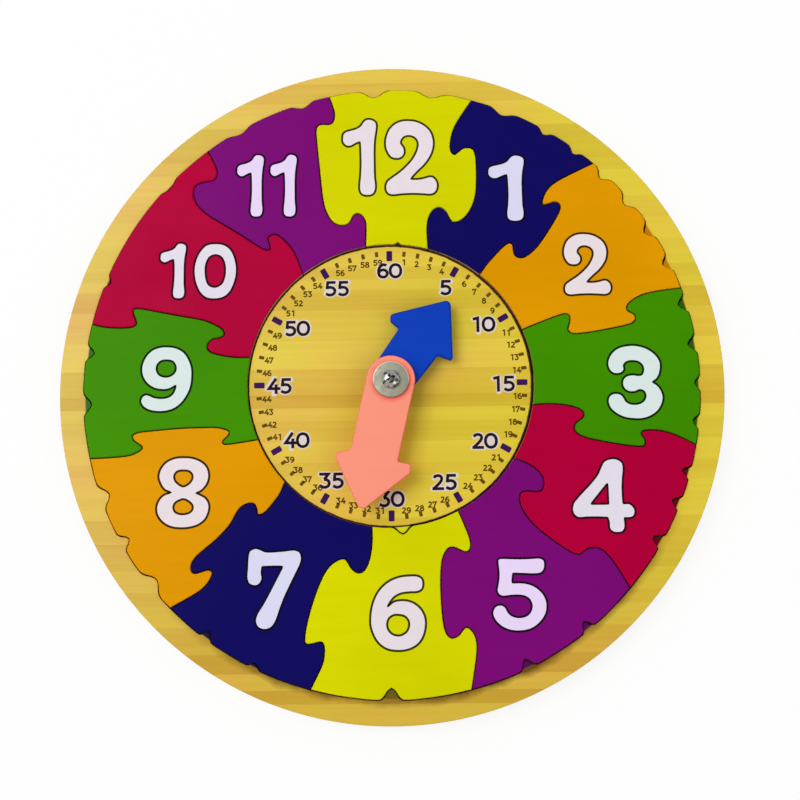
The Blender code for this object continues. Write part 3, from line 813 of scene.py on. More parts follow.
def smooth_run(run: Loop, spacing: float, before: Vector | None = None,
               after: Vector | None = None) -> Loop:
    """Return a curve through a run of points, without its last point.

    Args:
        run: The points that the curve goes through.
        spacing: About how far apart the curve's points are.
        before: The point before the run, where the curve goes on smoothly.
        after: The point after the run.

    Returns:
        The curve's points.
    """
    padded = [before if before is not None else run[0] * 2 - run[1], *run,
              after if after is not None else run[-1] * 2 - run[-2]]
    curve = []
    for index in range(1, len(padded) - 2):
        first, start, end, last = padded[index - 1:index + 3]
        span_in, span, span_out = ((start - first).length, (end - start).length,
                                   (last - end).length)
        leave = (end - first) / (span_in + span)
        arrive = (last - start) / (span + span_out)
        steps = max(1, round(span / spacing))
        for step in range(steps):
            t = step / steps
            curve.append(start * (2 * t ** 3 - 3 * t ** 2 + 1) + end * (3 * t ** 2 - 2 * t ** 3)
                         + (leave * (t ** 3 - 2 * t ** 2 + t) + arrive * (t ** 3 - t ** 2)) * span)
    return curve


def smooth_loop(points: Loop, corners: list[bool], spacing: float) -> Loop:
    """Return a closed curve through points that keeps its marked corners sharp.

    Args:
        points: The points that the curve goes through.
        corners: Whether each of them is a corner.
        spacing: About how far apart the curve's points are.

    Returns:
        The closed curve's points.
    """
    count = len(points)
    sharp = [index for index, corner in enumerate(corners) if corner]
    if not sharp:
        return smooth_run([*points, points[0]], spacing, points[-1], points[1])
    curve = []
    for order, start in enumerate(sharp):
        end = sharp[(order + 1) % len(sharp)]
        length = (end - start) % count or count
        curve += smooth_run([points[(start + step) % count] for step in range(length + 1)],
                            spacing)
    return curve


def turning(loop: Loop, index: int) -> float:
    """Return how many degrees a loop turns at one of its points."""
    into = loop[index] - loop[index - 1]
    out = loop[(index + 1) % len(loop)] - loop[index]
    return math.degrees(into.angle(out, 0.0))


def node_loops(node: str, spacing: float, corner_degrees: float = 52.0) -> list[Loop]:
    """Read the outline of a packed plate from its underside and draw it finely.

    Args:
        node: The plate's node.
        spacing: About how far apart the outline's points are.
        corner_degrees: Turns sharper than this stay corners.

    Returns:
        The outer loop and then the holes, the longest first.
    """
    mesh = bmesh.new()
    mesh.from_mesh(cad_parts[node].data)
    bmesh.ops.remove_doubles(mesh, verts=mesh.verts, dist=0.002 * MM)
    mesh.normal_update()
    low = min(corner.co.z for corner in mesh.verts)
    follow = {}
    for edge in mesh.edges:
        if len(edge.link_faces) != 2 or any(v.co.z > low + 0.01 * MM for v in edge.verts):
            continue
        first, second = sorted(edge.link_faces, key=lambda face: face.normal.z)
        if first.normal.z < -0.9999 < second.normal.z:
            for loop in edge.link_loops:
                if loop.face == first:
                    follow[loop.vert] = loop.link_loop_next.vert
    loops = []
    while follow:
        corner, after = next(iter(follow.items()))
        run = []
        while corner in follow:
            if not run or (corner.co.xy - run[-1]).length > 0.02 * MM:
                run.append(corner.co.xy.copy())
            corner = follow.pop(corner)
        if len(run) > 2:
            loops.append(run)
    mesh.free()
    fine = []
    for loop in sorted(loops, key=lambda item: -abs(loop_area(item))):
        corners = [turning(loop, index) > corner_degrees for index in range(len(loop))]
        fine.append(smooth_loop(loop, corners, spacing))
    return fine


@dataclass
class Plate:
    """A flat plate with eased edges, which tells its top, its edge and its wall apart."""

    low: float
    high: float
    ease_top: float = 0.4 * MM
    ease_bottom: float = 0.0
    steps: int = 4
    support: float = 0.12 * MM
    sharp_degrees: float = 30.0

    def levels(self, ease_top: float, ease_bottom: float) -> list[tuple[float, float, float]]:
        """Return the height, inset and drop of each ring from the bottom up.

        Args:
            ease_top: Radius of the upper edge.
            ease_bottom: Radius of the lower edge.

        Returns:
            The rings. Drop is 0 on the flat top and 1 on the wall and below.
        """
        rings = []
        if ease_bottom:
            rings.append((self.low, ease_bottom + self.support, 1.0))
            for step in range(self.steps + 1):
                turn = math.pi / 2 * step / self.steps
                rings.append((self.low + ease_bottom * (1 - math.cos(turn)),
                              ease_bottom * (1 - math.sin(turn)), 1.0))
        else:
            rings.append((self.low, 0.0, 1.0))
        if ease_top:
            for step in range(self.steps + 1):
                turn = math.pi / 2 * step / self.steps
                rings.append((self.high - ease_top * (1 - math.sin(turn)),
                              ease_top * (1 - math.cos(turn)), 1.0 - step / self.steps))
            rings.append((self.high, ease_top + self.support, 0.0))
        else:
            rings.append((self.high, 0.0, 0.0))
        return rings

    def mesh(self, name: str, loops: list[Loop], hole_ease: float | None = None,
             sanded: bool = False) -> bpy.types.Mesh:
        """Build the plate's mesh.

        Args:
            name: The mesh's name.
            loops: The outer loop and then the holes.
            hole_ease: Radius of the holes' edges, where it isn't the outer edge's.
            sanded: Whether the outer wall is sanded and finished like the top.

        Returns:
            The closed mesh, with its drop in a point attribute.
        """
        mesh = bmesh.new()
        drops = []
        lowest = []
        highest = []
        for order, loop in enumerate(loops):
            ease = self.ease_top if not order or hole_ease is None else hole_ease
            if (loop_area(loop) > 0) == (order == 0):
                loop = loop[::-1]
            rings = []
            for height, inset, drop in self.levels(ease, self.ease_bottom if not order else 0.0):
                points = moved_sideways(loop, inset) if inset else loop
                rings.append([mesh.verts.new((*point, height)) for point in points])
                drops += [0.0 if sanded and not order else drop] * len(points)
            for lower, upper in zip(rings, rings[1:]):
                for index, corner in enumerate(lower):
                    after = (index + 1) % len(lower)
                    mesh.faces.new((corner, lower[after], upper[after], upper[index]))
            lowest.append(rings[0])
            highest.append(rings[-1])
        for rings in (lowest, highest):
            edges = [mesh.edges.get((corner, ring[(index + 1) % len(ring)]))
                     for ring in rings for index, corner in enumerate(ring)]
            bmesh.ops.triangle_fill(mesh, edges=edges, use_beauty=True, use_dissolve=False)
        bmesh.ops.recalc_face_normals(mesh, faces=mesh.faces)
        data = bpy.data.meshes.new(name)
        mesh.to_mesh(data)
        mesh.free()
        data.attributes.new("drop", "FLOAT", "POINT").data.foreach_set("value", drops)
        smooth(data, self.sharp_degrees)
        return data


def smooth(data: bpy.types.Mesh, sharp_degrees: float) -> None:
    """Shade a mesh smooth, with its sharper edges kept."""
    data.shade_smooth()
    data.set_sharp_from_angle(angle=math.radians(sharp_degrees))


def add_piece(name: str, data: bpy.types.Mesh, material: bpy.types.Material | None, body: str,
              slot: str | None, *nodes: str) -> bpy.types.Object:
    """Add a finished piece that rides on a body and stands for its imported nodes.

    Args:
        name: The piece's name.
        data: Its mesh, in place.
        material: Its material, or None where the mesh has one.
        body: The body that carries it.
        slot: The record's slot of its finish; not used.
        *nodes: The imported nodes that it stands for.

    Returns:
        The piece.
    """
    piece = bpy.data.objects.new(name, data)
    bpy.context.scene.collection.objects.link(piece)
    if material:
        data.materials.clear()
        data.materials.append(material)
    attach(piece, body)
    if nodes:
        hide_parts(*nodes)
    return piece


# ---------------------------------------------------------------- geometry nodes

def socket_of(tree: bpy.types.NodeTree, name: str) -> str:
    """Return the identifier of a tree's named input."""
    for item in tree.interface.items_tree:
        if item.item_type == "SOCKET" and item.in_out == "INPUT" and item.name == name:
            return item.identifier
    raise KeyError(name)


def grown_mesh(name: str, tree: bpy.types.NodeTree, inputs: dict[str, object],
               source: bpy.types.Mesh | None = None) -> bpy.types.Mesh:
    """Run a geometry tree and return what it makes as a plain mesh.

    Args:
        name: The mesh's name.
        tree: The geometry tree.
        inputs: Its inputs by name.
        source: The mesh that the tree starts from.

    Returns:
        The plain mesh.
    """
    carrier = bpy.data.objects.new(name, source or bpy.data.meshes.new(name))
    bpy.context.scene.collection.objects.link(carrier)
    grow = carrier.modifiers.new("grow", "NODES")
    grow.node_group = tree
    for key, value in inputs.items():
        grow[socket_of(tree, key)] = value
    view = bpy.context.evaluated_depsgraph_get()
    data = bpy.data.meshes.new_from_object(carrier.evaluated_get(view))
    bpy.data.objects.remove(carrier, do_unlink=True)
    data.name = name
    return data


def finish_tree(graph: Graph, shape: object, given: bpy.types.Node,
                out: bpy.types.Node) -> bpy.types.NodeTree:
    """End a geometry tree with realised instances and a material.

    Args:
        graph: The tree's graph.
        shape: The geometry's output.
        given: The tree's input node.
        out: The tree's output node.

    Returns:
        The tree.
    """
    real = graph.add("GeometryNodeRealizeInstances", {0: shape})
    dressed = graph.add("GeometryNodeSetMaterial", {0: real.outputs[0],
                                                    "Material": given.outputs["Material"]})
    graph.link(dressed.outputs[0], out.inputs[0])
    return graph.tree


def tick_tree() -> bpy.types.NodeTree:
    """Build the tree that prints a ring of tick marks.

    Returns:
        The geometry tree.
    """
    graph, given, out = new_group(
        "Tick ring",
        {"Count": "Int", "First": "Int", "Skip": "Int", "Radius": "Float", "Width": "Float",
         "Length": "Float", "Height": "Float", "Thickness": "Float", "Corner": "Float",
         "Material": "Material"},
        {"Geometry": "Geometry"}, "GeometryNodeTree")
    count, skip, radius = (given.outputs[name] for name in ("Count", "Skip", "Radius"))
    index = graph.add("GeometryNodeInputIndex").outputs[0]
    angle = graph.math("DIVIDE", graph.math("MULTIPLY", index, math.tau), count)
    spot = graph.vector(graph.math("MULTIPLY", graph.math("SINE", angle), radius),
                        graph.math("MULTIPLY", graph.math("COSINE", angle), radius),
                        given.outputs["Height"])
    points = graph.add("GeometryNodePoints", {"Count": count, "Position": spot})
    bar = graph.add("GeometryNodeCurvePrimitiveQuadrilateral",
                    {"Width": given.outputs["Width"], "Height": given.outputs["Length"]})
    eased = graph.add("GeometryNodeFilletCurve", {"Curve": bar.outputs[0]})
    graph.link(given.outputs["Corner"], eased.inputs["Radius"])
    face = graph.add("GeometryNodeFillCurve", {0: eased.outputs[0]})
    raised = graph.add("GeometryNodeExtrudeMesh", {"Mesh": face.outputs[0], "Individual": False,
                                                   "Offset Scale": given.outputs["Thickness"]})
    under = graph.add("GeometryNodeFlipFaces", {0: face.outputs[0]})
    both = graph.add("GeometryNodeJoinGeometry", {0: raised.outputs[0]})
    graph.link(under.outputs[0], both.inputs[0])
    whole = graph.add("GeometryNodeMergeByDistance", {"Geometry": both.outputs[0],
                                                      "Distance": 0.001 * MM})
    number = graph.math("ADD", index, given.outputs["First"])
    odd = graph.math("GREATER_THAN", graph.math("MODULO", number, skip), 0.5)
    turn = graph.vector(0.0, 0.0, graph.math("MULTIPLY", angle, -1.0))
    ring = graph.add("GeometryNodeInstanceOnPoints",
                     {"Points": points.outputs[0], "Instance": whole.outputs[0],
                      "Selection": odd, "Rotation": turn})
    return finish_tree(graph, ring.outputs[0], given, out)


def stamp_tree() -> bpy.types.NodeTree:
    """Build the tree that stamps digits on points that carry a digit's number.

    Returns:
        The geometry tree.
    """
    graph, given, out = new_group(
        "Digit stamps", {"Geometry": "Geometry", "Digits": "Collection", "Material": "Material"},
        {"Geometry": "Geometry"}, "GeometryNodeTree")
    digits = graph.add("GeometryNodeCollectionInfo", {"Collection": given.outputs["Digits"],
                                                      "Separate Children": True,
                                                      "Reset Children": True})
    number = graph.add("GeometryNodeInputNamedAttribute", {"Name": "digit"}, data_type="INT")
    stamps = graph.add("GeometryNodeInstanceOnPoints",
                       {"Points": given.outputs["Geometry"], "Instance": digits.outputs[0],
                        "Pick Instance": True, "Instance Index": number.outputs[0]})
    return finish_tree(graph, stamps.outputs[0], given, out)


def ribbon_tree() -> bpy.types.NodeTree:
    """Build the tree that lays a flat ribbon along the edges of a mesh.

    Returns:
        The geometry tree.
    """
    graph, given, out = new_group(
        "Outline ribbon", {"Geometry": "Geometry", "Width": "Float", "Thickness": "Float",
                           "Material": "Material"},
        {"Geometry": "Geometry"}, "GeometryNodeTree")
    path = graph.add("GeometryNodeMeshToCurve", {0: given.outputs["Geometry"]})
    level = graph.add("GeometryNodeSetCurveNormal", {"Curve": path.outputs[0]})
    if "Mode" in level.inputs:
        level.inputs["Mode"].default_value = "Z Up"
    else:
        level.mode = "Z_UP"
    profile = graph.add("GeometryNodeCurvePrimitiveQuadrilateral",
                        {"Width": given.outputs["Width"], "Height": given.outputs["Thickness"]})
    band = graph.add("GeometryNodeCurveToMesh", {"Curve": level.outputs[0],
                                                 "Profile Curve": profile.outputs[0]})
    return finish_tree(graph, band.outputs[0], given, out)


def thread_tree() -> bpy.types.NodeTree:
    """Build the tree that winds a screw thread.

    Returns:
        The geometry tree.
    """
    graph, given, out = new_group(
        "Screw thread", {"Turns": "Float", "Radius": "Float", "Length": "Float",
                         "Ridge": "Float", "Material": "Material"},
        {"Geometry": "Geometry"}, "GeometryNodeTree")
    helix = graph.add("GeometryNodeCurveSpiral",
                      {"Resolution": 28, "Rotations": given.outputs["Turns"],
                       "Start Radius": given.outputs["Radius"],
                       "End Radius": given.outputs["Radius"],
                       "Height": given.outputs["Length"]})
    ridge = graph.add("GeometryNodeCurvePrimitiveCircle",
                      {"Resolution": 4, "Radius": given.outputs["Ridge"]})
    wound = graph.add("GeometryNodeCurveToMesh", {"Curve": helix.outputs[0],
                                                  "Profile Curve": ridge.outputs[0],
                                                  "Fill Caps": True})
    return finish_tree(graph, wound.outputs[0], given, out)


# ---------------------------------------------------------------- digits of the dial

# Strokes of each digit on a box one unit high, with True before a run that bends smoothly
DIGIT_STROKES: dict[int, tuple] = {
    0: ((True, (0.36, 1.0), (0.60, 0.90), (0.71, 0.68), (0.73, 0.5), (0.71, 0.32), (0.60, 0.10),
         (0.36, 0.0), (0.13, 0.10), (0.02, 0.32), (0.0, 0.5), (0.02, 0.68), (0.13, 0.90),
         (0.36, 1.0)),),
    1: ((False, (0.04, 0.93), (0.28, 1.0), (0.28, 0.0)),),
    2: ((True, (0.03, 0.82), (0.13, 0.95), (0.30, 1.0), (0.48, 0.94), (0.55, 0.78), (0.51, 0.60),
         (0.34, 0.36), (0.03, 0.02)), (False, (0.02, 0.0), (0.60, 0.0))),
    3: ((False, (0.04, 1.0), (0.55, 1.0), (0.34, 0.68)),
        (True, (0.26, 0.59), (0.42, 0.58), (0.57, 0.46), (0.61, 0.29), (0.54, 0.10), (0.40, 0.01),
         (0.24, 0.0), (0.0, 0.11))),
    4: ((False, (0.44, 1.0), (0.02, 0.30), (0.70, 0.30)), (False, (0.50, 0.52), (0.50, 0.0))),
    5: ((False, (0.56, 1.0), (0.12, 1.0), (0.08, 0.58)),
        (True, (0.08, 0.57), (0.26, 0.61), (0.46, 0.57), (0.59, 0.43), (0.61, 0.27), (0.53, 0.09),
         (0.36, 0.0), (0.20, 0.0), (0.0, 0.11))),
    6: ((True, (0.55, 0.93), (0.40, 1.0), (0.24, 0.96), (0.09, 0.80), (0.01, 0.55), (0.01, 0.33),
         (0.10, 0.09), (0.31, 0.0), (0.51, 0.07), (0.61, 0.29), (0.52, 0.51), (0.33, 0.59),
         (0.13, 0.52), (0.02, 0.36)),),
    7: ((False, (0.0, 0.84), (0.0, 1.0), (0.58, 1.0), (0.17, 0.0)),),
    8: ((True, (0.30, 1.0), (0.48, 0.93), (0.55, 0.77), (0.48, 0.61), (0.30, 0.55), (0.12, 0.61),
         (0.05, 0.77), (0.12, 0.93), (0.30, 1.0)),
        (True, (0.30, 0.55), (0.52, 0.47), (0.61, 0.27), (0.52, 0.07), (0.30, 0.0), (0.08, 0.07),
         (-0.01, 0.27), (0.08, 0.47), (0.30, 0.55))),
    9: ((True, (0.06, 0.07), (0.21, 0.0), (0.37, 0.04), (0.52, 0.20), (0.60, 0.45), (0.60, 0.67),
         (0.51, 0.91), (0.30, 1.0), (0.10, 0.93), (0.0, 0.71), (0.09, 0.49), (0.28, 0.41),
         (0.48, 0.48), (0.59, 0.64)),),
}


def filled_holes(cells: list, origins: list) -> list[bool]:
    """Mark the cells that are covered or are closed in by covered ones.

    Args:
        cells: Triangles of a flat net.
        origins: What covers each of them, empty where nothing does.

    Returns:
        Whether each cell is kept.
    """
    beside = {}
    for index, cell in enumerate(cells):
        for k, corner in enumerate(cell):
            beside.setdefault(frozenset((corner, cell[k - 1])), []).append(index)
    outside = {pair[0] for pair in beside.values() if len(pair) == 1 and not origins[pair[0]]}
    edge = list(outside)
    while edge:
        index = edge.pop()
        cell = cells[index]
        for k, corner in enumerate(cell):
            for other in beside[frozenset((corner, cell[k - 1]))]:
                if other not in outside and not origins[other]:
                    outside.add(other)
                    edge.append(other)
    return [index not in outside for index in range(len(cells))]


def joined_polygons(polygons: list[Loop], low: float, high: float, name: str,
                    filled: bool = False) -> bpy.types.Mesh:
    """Return one closed flat solid that covers every polygon.

    Args:
        polygons: The polygons, which may overlap.
        low: Height of the underside.
        high: Height of the top.
        name: The mesh's name.
        filled: Whether the holes between them are filled too.

    Returns:
        The solid's mesh.
    """
    points = []
    faces = []
    for polygon in polygons:
        start = len(points)
        points += [point / MM for point in (polygon if loop_area(polygon) > 0
                                            else polygon[::-1])]
        faces.append(list(range(start, len(points))))
    spots, _, cells, _, _, origins = delaunay_2d_cdt(points, [], faces, 1, 1e-4, True)
    if filled:
        origins = filled_holes(cells, origins)
    kept = [cell for cell, origin in zip(cells, origins) if origin]
    borders = {(cell[k], cell[(k + 1) % len(cell)]) for cell in kept for k in range(len(cell))}
    count = len(spots)
    corners = [(*(spot * MM), height) for height in (low, high) for spot in spots]
    sides = [(a, b, b + count, a + count) for a, b in sorted(borders) if (b, a) not in borders]
    tops = [tuple(corner + count for corner in cell) for cell in kept]
    data = bpy.data.meshes.new(name)
    data.from_pydata(corners, [], [cell[::-1] for cell in kept] + tops + sides)
    mesh = bmesh.new()
    mesh.from_mesh(data)
    loose = [corner for corner in mesh.verts if not corner.link_faces]
    bmesh.ops.delete(mesh, geom=loose, context="VERTS")
    bmesh.ops.recalc_face_normals(mesh, faces=mesh.faces)
    mesh.to_mesh(data)
    mesh.free()
    return data


@dataclass
class DigitFace:
    """A printed face of the digits 0 to 9 at one height and one stroke width."""

    name: str
    height: float
    stroke: float
    low: float
    high: float
    grow: float = 0.0
    cap: Cap = Cap.SQUARE
    narrow: float = 1.0
    bends_in: float = 12.0
    layer: float = 0.004 * MM
    widths: dict[int, float] = field(default_factory=dict)

    def stroke_polygons(self, digit: int) -> list[Loop]:
        """Return the polygons of a digit's strokes, about the foot of its left side.

        Args:
            digit: The digit.

        Returns:
            The polygons, which overlap at their ends.
        """
        tall = self.height - self.stroke
        polygons = []
        for bends, *shares in DIGIT_STROKES[digit]:
            run = [Vector((x * tall * self.narrow, y * tall)) for x, y in shares]
            closed = (run[0] - run[-1]).length < self.height * 0.01
            if bends:
                ends = (run[-2], run[1]) if closed else ()
                line = smooth_run(run, self.height / self.bends_in, *ends) + [run[-1]]
            else:
                line = run
                for end, inner in ((0, 1), (-1, -2)):
                    line[end] = line[end] + (line[end] - line[inner]).normalized() * \
                        self.stroke / 2
            if bends and self.cap is Cap.SQUARE:
                polygons += self.band(line, closed)
            else:
                polygons += self.bars(line)
        return [polygon for polygon in polygons if abs(loop_area(polygon)) > 1e-12]

    def band(self, line: Loop, closed: bool) -> list[Loop]:
        """Return the polygons of a stroke that bends smoothly.

        Args:
            line: The stroke's middle line.
            closed: Whether it ends where it starts.

        Returns:
            One polygon for each step of the line.
        """
        half = self.stroke / 2 + self.grow
        sides = []
        for distance in (half, -half):
            if closed:
                side = moved_sideways(line[:-1], distance)
                side.append(side[0])
            else:
                side = moved_sideways(line, distance, False)
            sides.append(side)
        right, left = sides
        return [[right[k], right[k + 1], left[k + 1], left[k]] for k in range(len(line) - 1)]

    def bars(self, line: Loop) -> list[Loop]:
        """Return the polygons of straight strokes, mitred or rounded where they meet.

        Args:
            line: The strokes' middle line.

        Returns:
            A bar for each stroke, and what joins them.
        """
        half = self.stroke / 2 + self.grow
        polygons = []
        across = [Vector(((b - a).y, (a - b).x)).normalized() * half
                  for a, b in zip(line, line[1:])]
        for k, side in enumerate(across):
            polygons.append([line[k] + side, line[k + 1] + side, line[k + 1] - side,
                             line[k] - side])
        if self.cap is Cap.ROUND:
            return polygons + [circle(half, 12, point) for point in line]
        for k in range(1, len(line) - 1):
            into, out = across[k - 1], across[k]
            if into.cross(out) > 0:
                outer_in, outer_out = into, out
            else:
                outer_in, outer_out = -into, -out
            tip = (outer_in + outer_out) * half ** 2 / max((outer_in + outer_out).length_squared
                                                           / 2, half ** 2 * 0.25)
            polygons.append([line[k], line[k] + outer_in, line[k] + tip, line[k] + outer_out])
        return polygons

    def collection(self) -> bpy.types.Collection:
        """Build the ten digits as hidden objects of a collection.

        Returns:
            The collection, which isn't linked to the scene.
        """
        store = bpy.data.collections.new(self.name)
        for digit in range(10):
            data = joined_polygons(self.stroke_polygons(digit), self.low, self.high,
                                   f"{self.name}_{digit}", self.cap is Cap.ROUND)
            lows = [corner.co.x for corner in data.vertices]
            data.transform(Matrix.Translation((-min(lows), 0.0, 0.0)))
            self.widths[digit] = max(lows) - min(lows) - 2 * self.grow
            store.objects.link(bpy.data.objects.new(f"{self.name}_{digit}", data))
        return store

    def points(self, numbers: dict[int, Vector], pitch: float) -> bpy.types.Mesh:
        """Return a mesh of points, one for each digit of some numbers.

        Args:
            numbers: The centre of each number.
            pitch: From the middle of a digit to the middle of the next.

        Returns:
            The points, with the digits in an attribute.
        """
        spots = []
        digits = []
        for number, centre in numbers.items():
            names = [int(letter) for letter in str(number)]
            lefts = [pitch * order - self.widths[digit] / 2 for order, digit in enumerate(names)]
            middle = (lefts[0] + lefts[-1] + self.widths[names[-1]]) / 2
            for order, (digit, left) in enumerate(zip(names, lefts)):
                spots.append((centre.x + left - middle - self.grow,
                              centre.y - (self.height - self.stroke) / 2, self.layer * order))
                digits.append(digit)
        data = bpy.data.meshes.new(f"{self.name}_points")
        data.from_pydata(spots, [], [])
        data.attributes.new("digit", "INT", "POINT").data.foreach_set("value", digits)
        return data


# ---------------------------------------------------------------- hour numerals

